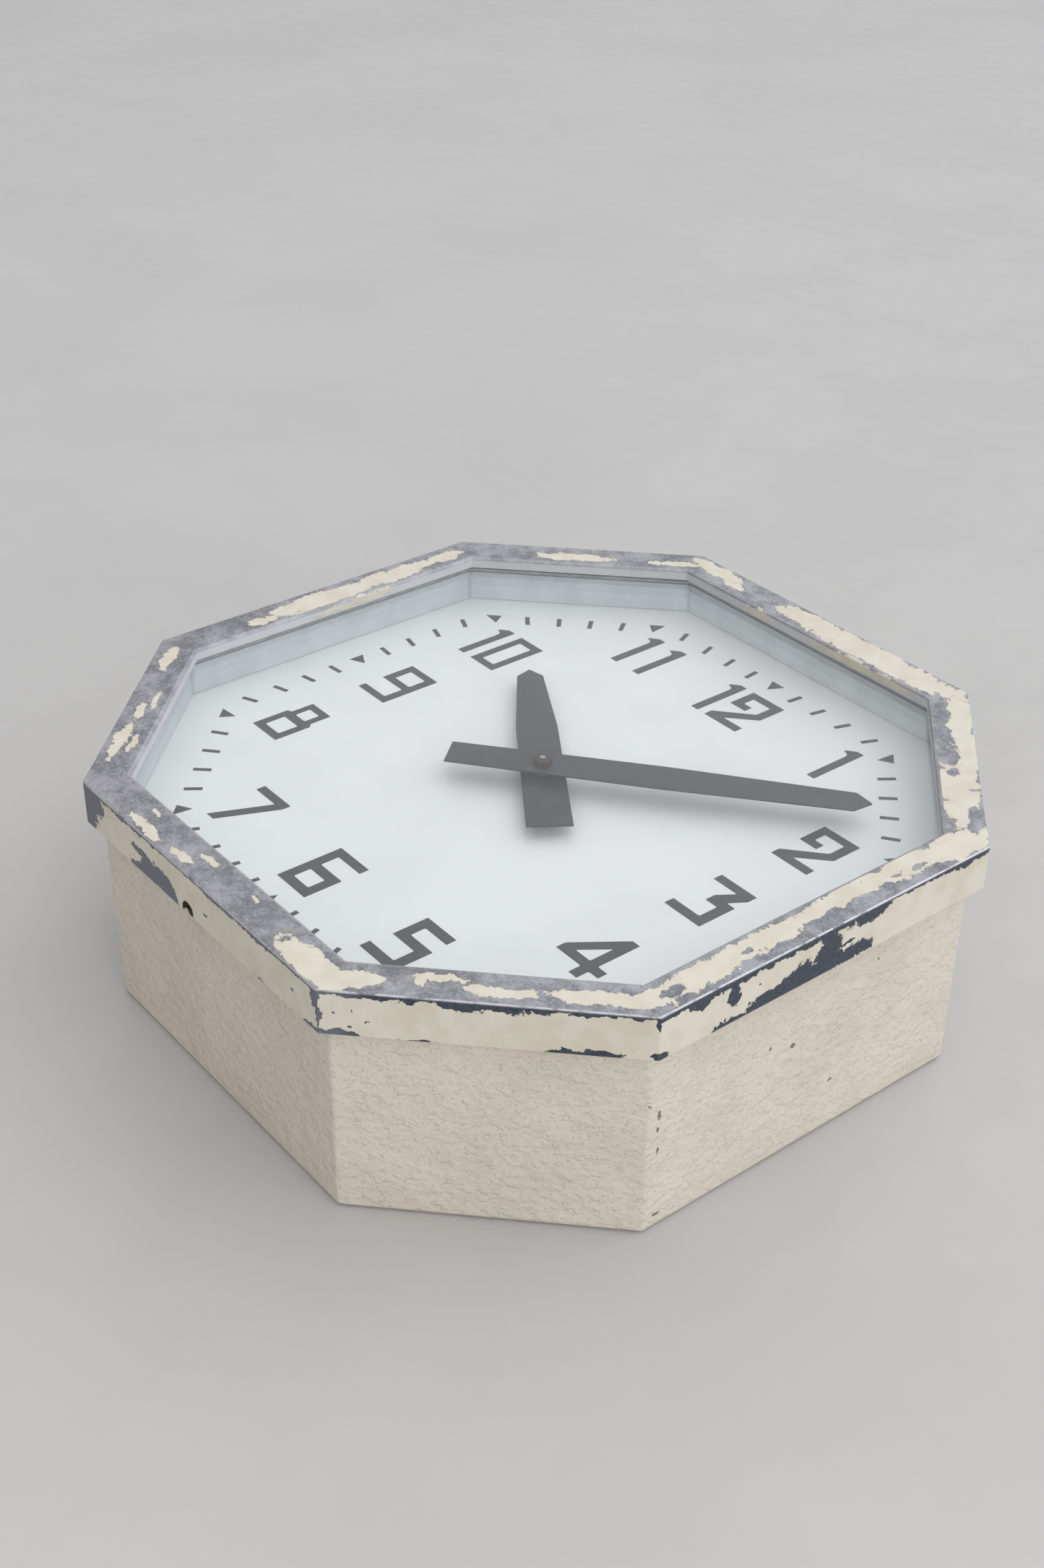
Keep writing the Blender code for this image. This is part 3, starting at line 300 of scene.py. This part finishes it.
# Along Y, in metres: where the primer starts to thin, and where it is thinnest.
THIN_PRIMER = (-0.184, -0.196)
PAINT_CREAM = (0.69, 0.66, 0.56)
PAINT_YELLOWED = (0.63, 0.585, 0.47)
PAINT_SOILED = (0.42, 0.38, 0.30)


def bezel_paint():
    """The bezel's look, with how much paint is left at each place and on the lip."""
    look = Look("bezel_paint")
    inset = look.octagon()[0]
    z = look.height()
    at = look.shaken((9.0, 4.2), (2.4, 1.5))
    torn = look.math("MULTIPLY", look.math("SUBTRACT", look.noise(3.5, 5.0, 0.7), 0.5), 0.9)
    top_paint = look.patches(at, on_top(TOP_PAINT))
    top_bare = look.patches(at, on_top(TOP_BARE))
    lip_paint = look.patches(at, on_wall(LIP_PAINT, LIP_INSET))
    skirt_bare = look.patches(at, on_wall(SKIRT_BARE))
    chipped_rim = look.step(z, RIM_CHIPS_LOW, RIM_CHIPS_HIGH, 1.4, 0.75)
    skirt_bare = look.math("MINIMUM", skirt_bare, chipped_rim)
    paint_edge = (PAINT_ENDS - PAINT_BREAK, PAINT_ENDS + PAINT_BREAK)
    bare_edge = (BARE_ENDS - PAINT_BREAK, BARE_ENDS + PAINT_BREAK)
    covered = look.step(look.math("ADD", top_paint, torn), *paint_edge, 1.0, 0.0)
    bared = look.step(look.math("ADD", top_bare, torn), *bare_edge, 1.0, 0.0)
    top = look.math("MULTIPLY", covered, look.math("SUBTRACT", 1.0, bared))
    skirt = look.step(look.math("ADD", skirt_bare, torn), *bare_edge)
    paint = look.blend(look.step(z, *SKIRT_TO_TOP), skirt, top)
    return look, inset, z, paint, lip_paint


def lock_recess(look, inset):
    """1 inside the recess round the lock screw, and 0 elsewhere."""
    low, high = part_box("bezel_screw")
    centre = 0.5 * (low + high)
    round_it = look.vector("MULTIPLY", look.vector("SUBTRACT", look.place, centre), (1.0, 0.0, 1.0))
    radius = look.vector("LENGTH", round_it)
    near = look.step(radius, (LOCK_RECESS_RADIUS + 0.2) * MM, (LOCK_RECESS_RADIUS + 0.5) * MM, 1.0, 0.0)
    front = look.step(look.parts(look.place)[1], -0.1, -0.05, 1.0, 0.0)
    within = look.step(inset, -0.05, 0.05)
    return look.math("MULTIPLY", look.math("MULTIPLY", near, front), within)


def bare_steel(look, inset, fine):
    """Bare steel's colour, with blotches, specks and fine lines along each side, and those lines."""
    along = look.node("CombineXYZ", {0: look.math("MULTIPLY", inset, MM), 1: 0.0, 2: 0.0}).outputs[0]
    lines = look.noise(0.5, 3.0, 0.6, at=along)
    blotch = look.noise(15.0, 8.0, 0.66)
    steel = look.mix(look.step(blotch, 0.36, 0.64), (0.26, 0.26, 0.285), (0.50, 0.50, 0.525))
    steel = look.mix(look.step(fine, 0.50, 0.68, 0.0, 0.5), steel, (0.64, 0.64, 0.66))
    steel = look.mix(look.step(fine, 0.34, 0.48, 0.42, 0.0), steel, (0.13, 0.13, 0.155))
    steel = look.mix(look.step(lines, 0.4, 0.7, 0.0, 0.25), steel, (0.15, 0.15, 0.18))
    return steel, lines


def old_primer(look, fine):
    """The dark blue primer on the skirt, worn thin on the 6 o'clock side."""
    primer = look.mix(look.step(fine, 0.3, 0.7), (0.030, 0.042, 0.062), (0.085, 0.10, 0.13))
    worn_thin = look.mix(fine, (0.16, 0.18, 0.22), (0.30, 0.32, 0.35))
    thin = look.step(look.parts(look.place)[1], *THIN_PRIMER, 0.0, 0.55)
    return look.mix(thin, primer, worn_thin)


def cream_paint(look):
    """Cream paint, yellowed in clouds and soiled in small spots."""
    cream = look.mix(look.step(look.noise(14.0, 4.0), 0.35, 0.7), PAINT_CREAM, PAINT_YELLOWED)
    soiled = look.step(look.noise(1.6, 4.0, 0.7), 0.60, 0.74, 0.0, 0.5)
    return look.mix(soiled, cream, PAINT_SOILED)


def rubbed_rim(look, inset, z):
    """1 where the face's outer edge is rubbed bright, and 0 elsewhere."""
    edge = look.math("MULTIPLY", look.step(inset, 0.15, 0.75, 1.0, 0.0), look.step(z, 126.9, 127.6))
    return look.math("MULTIPLY", edge, look.step(look.noise(7.0, 4.0), 0.36, 0.5))


def finish_bezel():
    """Cream paint worn through to bare steel on the face, and to an old primer on the skirt."""
    look, inset, z, paint, lip_paint = bezel_paint()
    fine = look.noise(1.3, 4.0, 0.65)
    lip = look.step(inset, *TOP_TO_LIP)
    recess = lock_recess(look, inset)
    rubbed = rubbed_rim(look, inset, z)
    paint = look.blend(lip, paint, look.step(lip_paint, 0.9, 1.05, 1.0, 0.0))
    paint = look.math("MULTIPLY", paint, look.math("SUBTRACT", 1.0, recess))
    paint = look.math("MULTIPLY", paint, look.math("SUBTRACT", 1.0, rubbed))

    bare, lines = bare_steel(look, inset, fine)
    skirt = look.math("MULTIPLY", look.step(z, 126.6, 127.5, 1.0, 0.0), look.step(inset, 2.0, 3.0, 1.0, 0.0))
    bare = look.mix(skirt, bare, old_primer(look, fine))
    # Painted highlight: the whole lip is painted a lighter steel, and its upright wall lighter still.
    wall = look.math("MULTIPLY", lip, look.step(z, *ROLL_TO_LIP_WALL))
    bare = look.mix(look.math("MULTIPLY", lip, 0.3), bare, (0.58, 0.58, 0.61))
    bare = look.mix(look.math("MULTIPLY", wall, 0.7), bare, (0.74, 0.74, 0.76))
    bare = look.mix(rubbed, bare, (0.74, 0.74, 0.77))
    # The recess round the lock screw is bare rusted steel, painted dark brown throughout, which also paints
    # the shade inside it.
    bare = look.mix(recess, bare, look.mix(fine, (0.035, 0.022, 0.014), (0.14, 0.085, 0.05)))

    # Painted highlight: the lip's upright wall is made less metallic, so its painted lighter colour shows.
    bare_metallic = look.blend(skirt, look.blend(wall, 0.75, 0.2), 0.35)
    bare_rough = look.blend(rubbed, look.step(fine, 0.3, 0.7, 0.38, 0.58), 0.22)
    look.set(
        base_color=look.mix(paint, bare, cream_paint(look)),
        metallic=look.blend(paint, bare_metallic, 0.0),
        roughness=look.blend(paint, bare_rough, 0.5),
    )
    flow = look.bump(look.noise(2.6, 3.0), 0.06)
    pits = look.bump(look.math("ADD", fine, lines), 0.02, flow)
    look.set(normal=look.bump(paint, 0.16, pits))
    return look.material


# Chips in the case's paint: side: [(s, z, half length, half height)].
CASE_CHIPS = {
    90: [
        (11.7, 63.4, 1.5, 1.3), (26.1, 68.7, 0.9, 1.0), (-16.0, 29.3, 1.6, 0.9), (91.5, 98, 1.6, 0.8),
        (91.0, 66.0, 1.0, 2.6), (91.6, 58.0, 0.8, 1.6), (91.0, 46.0, 0.8, 1.4), (90.0, 8.0, 2.0, 1.0),
        (-40.0, 88.0, 0.8, 0.6),
    ],
}
# Each run of paint ends in a small step where the noise passes one of these.
RUN_LEVELS = (0.40, 0.50, 0.60)


def finish_case():
    """Spattered paint: flat runs a few millimetres across, each with a crisp curved edge."""
    look = Look("case_paint")
    at = look.vector("MULTIPLY", look.shaken((7.0, 1.5)), (1.0, 1.0, 1.35))
    runs = look.noise(6.5, 2.0, 0.45, at=at)
    small = look.noise(3.4, 2.0, 0.5, at=at)
    levels = [look.step(runs, start, start + 0.05) for start in RUN_LEVELS]
    terraces = look.math("ADD", look.math("ADD", levels[0], levels[1]), levels[2])
    dabs = look.step(small, 0.60, 0.65)
    broad = look.noise(11.0, 2.0)
    grain = look.noise(0.8, 2.0)
    stain = look.noise(45.0, 5.0, 0.6)
    cream = look.mix(look.step(stain, 0.35, 0.68), (0.69, 0.645, 0.56), (0.635, 0.588, 0.50))
    # Painted shade: the paint is darker in the hollows between the small lumps, where the bump dips.
    cream = look.mix(look.step(small, 0.30, 0.5, 0.22, 0.0), cream, (0.44, 0.385, 0.31))
    torn = look.math("MULTIPLY", look.math("SUBTRACT", look.noise(1.4, 4.0, 0.7), 0.5), 1.6)
    chipped = look.patches(look.shaken((2.0, 0.9)), on_wall(CASE_CHIPS, CASE_INSET))
    chipped = look.step(look.math("ADD", chipped, torn), 0.9, 1.05, 1.0, 0.0)
    inset, mitre = look.octagon()
    corner = look.step(mitre, 0.0, 1.6, 1.0, 0.0)
    skin = look.step(inset, CASE_INSET + 1.4, CASE_INSET + 2.6, 1.0, 0.0)
    edge = look.math("MULTIPLY", corner, skin)
    worn = look.math("MULTIPLY", edge, look.step(look.noise(5.0, 5.0, 0.75), 0.66, 0.70))
    chipped = look.math("MAXIMUM", chipped, worn)
    chip_colour = look.mix(look.noise(1.0, 2.0), (0.14, 0.125, 0.10), (0.30, 0.28, 0.22))
    look.set(
        base_color=look.mix(chipped, cream, chip_colour),
        roughness=look.step(grain, 0.3, 0.7, 0.42, 0.6),
    )
    height = look.math("MULTIPLY", terraces, 0.15)
    for layer, share in ((dabs, 0.30), (small, 0.35), (broad, 0.8), (grain, 0.06), (chipped, -0.6)):
        height = look.math("MULTIPLY_ADD", layer, share, height)
    look.set(normal=look.bump(height, 0.85))
    return look.material


def finish_dial():
    """White enamel with faint clouds and a few pinhead specks."""
    look = Look("dial_enamel", coat_weight=0.25, coat_roughness=0.2)
    white = look.mix(look.step(look.noise(60.0, 4.0), 0.35, 0.7), (0.80, 0.815, 0.81), (0.765, 0.78, 0.775))
    specks = look.step(look.noise(0.9, 2.0, 0.5), 0.70, 0.76, 0.0, 0.25)
    look.set(
        base_color=look.mix(specks, white, (0.60, 0.60, 0.58)),
        roughness=look.step(look.noise(5.0), 0.3, 0.7, 0.36, 0.48),
        normal=look.bump(look.noise(3.0, 2.0), 0.03),
    )
    return look.material


def painted(name, first, second, size, roughness, lump=0.04, **constants):
    """A painted or moulded surface: two near colours in clouds, with a fine skin."""
    look = Look(name, **constants)
    shade = look.step(look.noise(size, 5.0, 0.62), 0.36, 0.66)
    skin = look.noise(size * 0.12, 3.0)
    look.set(
        base_color=look.mix(shade, first, second),
        roughness=look.step(skin, 0.3, 0.7, roughness - 0.06, roughness + 0.08),
        normal=look.bump(skin, lump),
    )
    return look.material


def metal(name, first, second, size, roughness, grain=(1.0, 1.0, 1.0), rust=None, lump=0.02):
    """Bare metal: tarnish in clouds, machining grain, and rust where it is given."""
    look = Look(name, metallic=1.0)
    tarnish = look.step(look.noise(size, 6.0, 0.65), 0.36, 0.68)
    lines = look.noise(0.7, 3.0, 0.6, at=look.stretched(*grain))
    colour = look.mix(tarnish, first, second)
    rough = look.blend(tarnish, roughness, roughness + 0.14)
    if rust:
        spread, colours = rust
        rusted = look.step(look.noise(size * 0.7, 6.0, 0.72), spread, spread + 0.08)
        brown = look.mix(look.noise(0.6, 4.0), *colours)
        colour = look.mix(rusted, colour, brown)
        look.set(metallic=look.step(rusted, 0.0, 1.0, 1.0, 0.1))
        rough = look.blend(rusted, rough, 0.82)
    rough = look.math("ADD", rough, look.step(lines, 0.3, 0.7, -0.06, 0.06))
    look.set(base_color=colour, roughness=rough, normal=look.bump(lines, lump))
    return look.material


def finish_copper():
    """Enamelled wire laid in close turns round the coil's axis, which lies along Y."""
    look = Look("copper_winding", metallic=0.85, coat_weight=0.6, coat_roughness=0.15)
    wire_pitch = 0.45 * MM
    along = look.parts(look.shaken((4.0, 0.12)))[1]
    turn = look.math("MULTIPLY", along, 2.0 * math.pi / wire_pitch)
    turn_shape_and_shade = look.step(look.math("SINE", turn), -1.0, 1.0)
    colour = look.mix(look.noise(6.0, 4.0), (0.42, 0.13, 0.045), (0.60, 0.24, 0.10))
    look.set(
        # Painted shade: the wire is darker between the turns, where the bump dips.
        base_color=look.mix(turn_shape_and_shade, (0.10, 0.03, 0.015), colour),
        roughness=look.step(look.noise(2.0), 0.3, 0.7, 0.28, 0.42),
        normal=look.bump(turn_shape_and_shade, 0.16),
    )
    return look.material


def finish_glass():
    """A clear pane with faint smears, which lets light through to the dial."""
    # A thin flat pane shifts what is behind it very little, so the reflection is in the coat.
    look = Look("clear_glass", transmission_weight=1.0, ior=1.04)
    look.set(coat_weight=1.0, coat_ior=1.5, coat_roughness=0.0)
    smear = look.noise(30.0, 4.0, 0.6, at=look.stretched(3.0, 1.0, 1.0))
    look.set(
        base_color=look.mix(smear, (0.985, 0.995, 0.99), (0.975, 0.985, 0.98)),
        roughness=look.step(smear, 0.45, 0.8, 0.0, 0.012),
        normal=look.bump(look.noise(25.0, 2.0), 0.004),
    )
    clear = look.node("BsdfTransparent", {"Color": (0.94, 0.96, 0.955, 1.0)})
    path = look.node("LightPath")
    either = look.node("MixShader")
    look.feed(either.inputs[0], path.outputs["Is Shadow Ray"])
    look.feed(either.inputs[1], look.shader.outputs["BSDF"])
    look.feed(either.inputs[2], clear.outputs[0])
    look.feed(look.output.inputs["Surface"], either.outputs[0])
    return look.material


def finish_reveal():
    """The painted wall round the dial, with a dark line where its strips meet at each corner."""
    look = Look("reveal_paint")
    mitre = look.octagon()[1]
    shade = look.step(look.noise(18.0, 5.0, 0.6), 0.35, 0.68)
    grey = look.mix(shade, (0.62, 0.66, 0.69), (0.54, 0.575, 0.605))
    gap = look.step(mitre, 0.2, 1.6, 0.22, 0.0)
    skin = look.noise(1.2, 3.0)
    look.set(
        base_color=look.mix(gap, grey, (0.10, 0.105, 0.11)),
        roughness=look.step(skin, 0.3, 0.7, 0.46, 0.6),
        normal=look.bump(skin, 0.03),
    )
    return look.material


BROWN_RUST = ((0.16, 0.055, 0.02), (0.34, 0.15, 0.06))
DARK_RUST = ((0.05, 0.026, 0.015), (0.12, 0.062, 0.034))
MATERIALS = {
    "bezel_paint": finish_bezel(),
    "case_paint": finish_case(),
    "clear_glass": finish_glass(),
    "dial_enamel": finish_dial(),
    "reveal_paint": finish_reveal(),
    "copper_winding": finish_copper(),
    "rubber": painted("rubber", (0.40, 0.405, 0.415), (0.50, 0.505, 0.515), 6.0, 0.72, 0.05),
    "hand_black": painted("hand_black", (0.013, 0.015, 0.021), (0.022, 0.026, 0.034), 9.0, 0.45, 0.02),
    "ferrite": painted("ferrite", (0.035, 0.035, 0.038), (0.07, 0.068, 0.066), 3.0, 0.55, 0.03),
    "bakelite": painted("bakelite", (0.055, 0.022, 0.012), (0.10, 0.045, 0.022), 12.0, 0.30, 0.02),
    "nylon": painted(
        "nylon", (0.70, 0.67, 0.58), (0.60, 0.56, 0.46), 8.0, 0.45, 0.02, subsurface_weight=0.08
    ),
    "lead_blue": painted("lead_blue", (0.03, 0.09, 0.30), (0.05, 0.13, 0.36), 4.0, 0.42, 0.02),
    "lead_brown": painted("lead_brown", (0.15, 0.06, 0.025), (0.21, 0.09, 0.04), 4.0, 0.42, 0.02),
    "steel": metal("steel", (0.56, 0.56, 0.57), (0.36, 0.355, 0.36), 9.0, 0.30, rust=(0.66, BROWN_RUST)),
    "rusty_steel": metal(
        "rusty_steel", (0.085, 0.075, 0.068), (0.05, 0.042, 0.036), 3.0, 0.55, rust=(0.50, DARK_RUST)
    ),
    "brass": metal("brass", (0.72, 0.52, 0.24), (0.46, 0.31, 0.13), 6.0, 0.26, grain=(4.0, 1.0, 1.0)),
}


def refinish(obj):
    """Gives a carried-over piece the finish that its own slots name."""
    for slot in obj.material_slots:
        name = slot.material.name.split(".")[0]
        found = MATERIALS.get(name)
        if found is None:
            raise ValueError(f"{obj.name} has no finish for {slot.material.name}")
        slot.material = found


for node in NODES.values():
    refinish(node)

# ---------------------------------------------------------------- the dial's print
DIAL_Z = box_mm("dial_plate")[1][2]
PRINT_LIFT = 0.01
PRINT_DEPTH = 0.05
CORNER_RADIUS = 0.9
ARC_STEPS = 4
# Length and width of a minute's mark and of an hour's triangle.
TICK = (9.4, 2.6)
HOUR_MARK = (8.8, 9.0)
# From the centre to the middle of the minute track, on a straight and on a diagonal side.
TRACK_STRAIGHT = 160.8
TRACK_DIAGONAL = 172.0
# Each glyph is drawn in millimetres from its top left corner, y down: an outline, then its holes.
GLYPHS = {
    "0": [
        [(0, 0), (19.4, 0), (19.4, 36.4), (0, 36.4)],
        [(4.9, 4.9), (4.9, 31.5), (14.5, 31.5), (14.5, 4.9)],
    ],
    "1": [[(4.6, 0), (9.2, 0), (9.2, 36.4), (4.1, 36.4), (4.1, 7.4), (2.6, 5.5), (0, 5.0), (0, 3.7)]],
    "2": [[
        (0, 0), (23.5, 0), (23.5, 18.0), (9.4, 31.1), (23.5, 31.1), (23.5, 36.4), (0, 36.4), (0, 31.1),
        (18.0, 15.2), (18.0, 5.2), (5.3, 5.2), (5.3, 12.3), (11.2, 12.3), (11.2, 17.4), (0, 17.4),
    ]],
    "3": [[
        (0, 0), (23.5, 0), (23.5, 5.6), (18.2, 13.9), (23.5, 13.9), (23.5, 36.2), (0, 36.2), (0, 30.6),
        (17.6, 30.6), (17.6, 19.6), (9.9, 19.6), (9.9, 13.9), (15.8, 5.3), (0, 5.3),
    ]],
    "4": [
        [
            (17.8, 0), (22.6, 0), (22.6, 24.4), (28.8, 24.4), (28.8, 29.8), (22.6, 29.8), (22.6, 36.8),
            (17.1, 36.8), (17.1, 29.8), (0, 29.8), (0, 24.4),
        ],
        [(17.0, 10.8), (7.0, 24.3), (17.0, 24.3)],
    ],
    "5": [[
        (1.9, 0), (23.4, 0), (23.4, 5.6), (7.7, 5.6), (7.7, 13.8), (24.3, 13.8), (24.3, 36.4),
        (0, 36.4), (0, 30.7), (18.3, 30.7), (18.3, 19.6), (1.9, 19.6),
    ]],
    "6": [
        [
            (0, 0), (23.1, 0), (23.1, 5.3), (5.7, 5.3), (5.7, 15.3), (23.1, 15.3), (23.1, 36.1),
            (0, 36.1),
        ],
        [(5.6, 21.1), (5.6, 30.4), (17.6, 30.4), (17.6, 21.1)],
    ],
    "7": [[(0, 0), (23.4, 0), (23.4, 4.8), (9.7, 36.0), (3.8, 36.0), (17.2, 5.2), (0, 5.2)]],
    "8": [
        [
            (2.6, 0), (19.4, 0), (19.4, 12.6), (21.8, 14.4), (21.8, 36.0), (0, 36.0), (0, 14.4),
            (2.6, 13.4),
        ],
        [(6.6, 4.6), (6.6, 13.6), (15.2, 13.6), (15.2, 4.6)],
        [(4.6, 19.2), (4.6, 31.0), (17.2, 31.0), (17.2, 19.2)],
    ],
    "9": [
        [
            (0, 0), (23.1, 0), (23.1, 36.1), (0, 36.1), (0, 31.4), (17.9, 31.4), (17.9, 20.0),
            (0, 20.0),
        ],
        [(5.0, 4.7), (5.0, 15.2), (17.9, 15.2), (17.9, 4.7)],
    ],
}
# Where each hour's glyphs sit on the dial: hour: [(glyph, left, top)], from the dial's centre.
NUMERALS = {
    1: [("1", 70.4, 148.2)],
    2: [("2", 113.8, 84.9)],
    3: [("3", 113.0, 17.2)],
    4: [("4", 108.8, -49.9)],
    5: [("5", 54.5, -111.9)],
    6: [("6", -14.1, -111.7)],
    7: [("7", -82.8, -111.1)],
    8: [("8", -139.0, -47.4)],
    9: [("9", -137.8, 19.0)],
    10: [("1", -142.3, 87.0), ("0", -126.9, 87.0)],
    11: [("1", -82.6, 148.2), ("1", -64.4, 148.2)],
    12: [("1", -16.3, 148.3), ("2", -1.8, 148.3)],
}


def cross(a, b):
    """Positive where b is anticlockwise of a."""
    return a.x * b.y - a.y * b.x


def rounded(outline, is_hole):
    """The points of a closed outline, with a small arc at each corner where ink gathers.

    Those are the corners that turn inwards, and every corner of a hole.
    """
    points = [Vector(corner) for corner in outline]
    area = sum(cross(a, b) for a, b in zip(points, points[1:] + points[:1]))
    done = []
    for index, here in enumerate(points):
        before = points[index - 1] - here
        after = points[(index + 1) % len(points)] - here
        if cross(before, after) * area < 0.0 and not is_hole:
            done.append(here)
            continue
        reach = min(CORNER_RADIUS, 0.45 * before.length, 0.45 * after.length)
        start = here + before.normalized() * reach
        end = here + after.normalized() * reach
        for step in range(ARC_STEPS + 1):
            t = step / ARC_STEPS
            done.append(start * (1 - t) ** 2 + here * 2 * t * (1 - t) + end * t**2)
    return done


def ink(name, outlines):
    """A thin closed print of these outlines, each a list of (x, y) in mm on the dial."""
    curve = bpy.data.curves.new(name, "CURVE")
    curve.dimensions = "2D"
    curve.fill_mode = "BOTH"
    curve.extrude = 0.5 * PRINT_DEPTH * MM
    for outline in outlines:
        spline = curve.splines.new("POLY")
        spline.points.add(len(outline) - 1)
        spline.use_cyclic_u = True
        for point, (x, y) in zip(spline.points, outline):
            point.co = (x * MM, y * MM, 0.0, 1.0)
    obj = bpy.data.objects.new(name, curve)
    obj.location.z = (DIAL_Z + PRINT_LIFT + 0.5 * PRINT_DEPTH) * MM
    bpy.context.scene.collection.objects.link(obj)
    curve.materials.append(MATERIALS["hand_black"])
    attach(obj, "case")


def print_numerals():
    """One piece of ink for each hour's numeral."""
    for hour, glyphs in NUMERALS.items():
        outlines = []
        for glyph, left, top in glyphs:
            for index, outline in enumerate(GLYPHS[glyph]):
                points = rounded(outline, is_hole=index > 0)
                outlines.append([(left + p.x, top - p.y) for p in points])
        ink(f"numeral_{hour}", outlines)


def print_track():
    """The minute track follows the octagon: a mark every minute, a triangle every hour."""
    marks = []
    for minute in range(60):
        angle = math.radians(6 * minute)
        out = Vector((math.sin(angle), math.cos(angle)))
        across = Vector((out.y, -out.x))
        straight = TRACK_STRAIGHT / max(abs(out.x), abs(out.y))
        diagonal = TRACK_DIAGONAL / ((abs(out.x) + abs(out.y)) * math.sqrt(0.5))
        middle = out * min(straight, diagonal)
        on_hour = minute % 5 == 0
        long, wide = (0.5 * size for size in (HOUR_MARK if on_hour else TICK))
        corners = [(-long, -wide), (-long, wide), (long, wide), (long, -wide)]
        if on_hour:
            corners = [(-long, 0.0), (long, wide), (long, -wide)]
        if on_hour and diagonal < straight:
            # The triangle points at the centre, but its base lies along the octagon's side.
            across = Vector((math.copysign(1.0, out.y), -math.copysign(1.0, out.x))).normalized()
        marks.append([tuple(middle + out * along + across * aside) for along, aside in corners])
    ink("minute_track", marks)


print_numerals()
print_track()

# ---------------------------------------------------------------- floor, light, camera
FLOOR_SIZE = 14.0
FLOOR_GAP = 0.0004
LENS = 46.0
CAMERA_TARGET = (0.02894, -0.03621, 0.128)
CAMERA_DISTANCE = 0.95176
CAMERA_AZIMUTH = -38.664
CAMERA_ELEVATION = 32.521
CAMERA_ROLL = 0.628
LAMP_TARGET = (0.0, 0.0, 0.06)
# Each softbox: its distance, azimuth and elevation, then its size, power and colour.
SOFTBOXES = {
    "overhead": ((2.4, 100, 68), (3.6, 3.6), 14.0, (1.0, 0.98, 0.95)),
    "right": ((2.0, -28, 26), (1.8, 1.2), 8.0, (1.0, 0.97, 0.93)),
}
WINDOW_SIDE = (0.62, 0.62, 0.48)
ROOM_DIM = (0.12, 0.10, 0.075, 1.0)
ROOM_BRIGHT = (1.25, 1.27, 1.33, 1.0)


def make_floor():
    """A plain pale floor just under the wall face, which the clock lies on."""
    mesh = bpy.data.meshes.new("floor")
    half = 0.5 * FLOOR_SIZE
    corners = [(-half, -half, 0.0), (half, -half, 0.0), (half, half, 0.0), (-half, half, 0.0)]
    mesh.from_pydata(corners, [], [(0, 1, 2, 3)])
    floor = bpy.data.objects.new("floor", mesh)
    floor.location.z = -FLOOR_GAP
    bpy.context.scene.collection.objects.link(floor)
    mesh.materials.append(painted("floor", (0.53, 0.522, 0.508), (0.505, 0.498, 0.485), 220.0, 0.55, 0.02))


def aim(obj, place, target, roll=0.0):
    """Puts a camera or a lamp at a place and turns it towards target."""
    obj.location = place
    facing = (Vector(target) - Vector(place)).to_track_quat("-Z", "Y")
    obj.rotation_euler = (facing @ Quaternion((0.0, 0.0, 1.0), roll)).to_euler()


def polar(target, distance, azimuth, elevation):
    """The place at this distance from target, with azimuth from +X and elevation in degrees."""
    a = math.radians(azimuth)
    e = math.radians(elevation)
    away = Vector((math.cos(e) * math.cos(a), math.cos(e) * math.sin(a), math.sin(e)))
    return Vector(target) + away * distance


def softbox(name, place, size, power, colour):
    """A large soft lamp that doesn't show in reflections or through the glass."""
    lamp = bpy.data.lights.new(name, "AREA")
    lamp.shape = "RECTANGLE"
    lamp.size, lamp.size_y = size
    lamp.energy = power
    lamp.color = colour
    obj = bpy.data.objects.new(name, lamp)
    obj.visible_glossy = False
    obj.visible_transmission = False
    bpy.context.scene.collection.objects.link(obj)
    aim(obj, polar(LAMP_TARGET, *place), LAMP_TARGET)


def make_camera():
    """A camera above the 4:30 side, a little towards 3 o'clock."""
    data = bpy.data.cameras.new("camera")
    data.lens = LENS
    data.sensor_width = 36.0
    data.sensor_fit = "AUTO"
    data.clip_start = 0.01
    obj = bpy.data.objects.new("camera", data)
    bpy.context.scene.collection.objects.link(obj)
    place = polar(CAMERA_TARGET, CAMERA_DISTANCE, CAMERA_AZIMUTH, CAMERA_ELEVATION)
    aim(obj, place, CAMERA_TARGET, roll=math.radians(CAMERA_ROLL))
    bpy.context.scene.camera = obj


def make_world():
    """An even pale room, brighter towards the window side than behind the 6 o'clock side."""
    world = bpy.data.worlds.new("studio")
    world.use_nodes = True
    tree = world.node_tree
    background = tree.nodes["Background"]
    way = tree.nodes.new("ShaderNodeTexCoord").outputs["Generated"]
    towards = tree.nodes.new("ShaderNodeVectorMath")
    towards.operation = "DOT_PRODUCT"
    towards.inputs[1].default_value = WINDOW_SIDE
    tree.links.new(way, towards.inputs[0])
    level = tree.nodes.new("ShaderNodeMapRange")
    level.inputs["From Min"].default_value = -1.0
    tree.links.new(towards.outputs["Value"], level.inputs["Value"])
    colour = tree.nodes.new("ShaderNodeMix")
    colour.data_type = "RGBA"
    colour.inputs["A"].default_value = ROOM_DIM
    colour.inputs["B"].default_value = ROOM_BRIGHT
    tree.links.new(level.outputs[0], colour.inputs["Factor"])
    tree.links.new(colour.outputs["Result"], background.inputs["Color"])
    bpy.context.scene.world = world


make_floor()
make_world()
make_camera()
for lamp_name, settings in SOFTBOXES.items():
    softbox(lamp_name, *settings)
bpy.context.scene.view_settings.view_transform = "Standard"
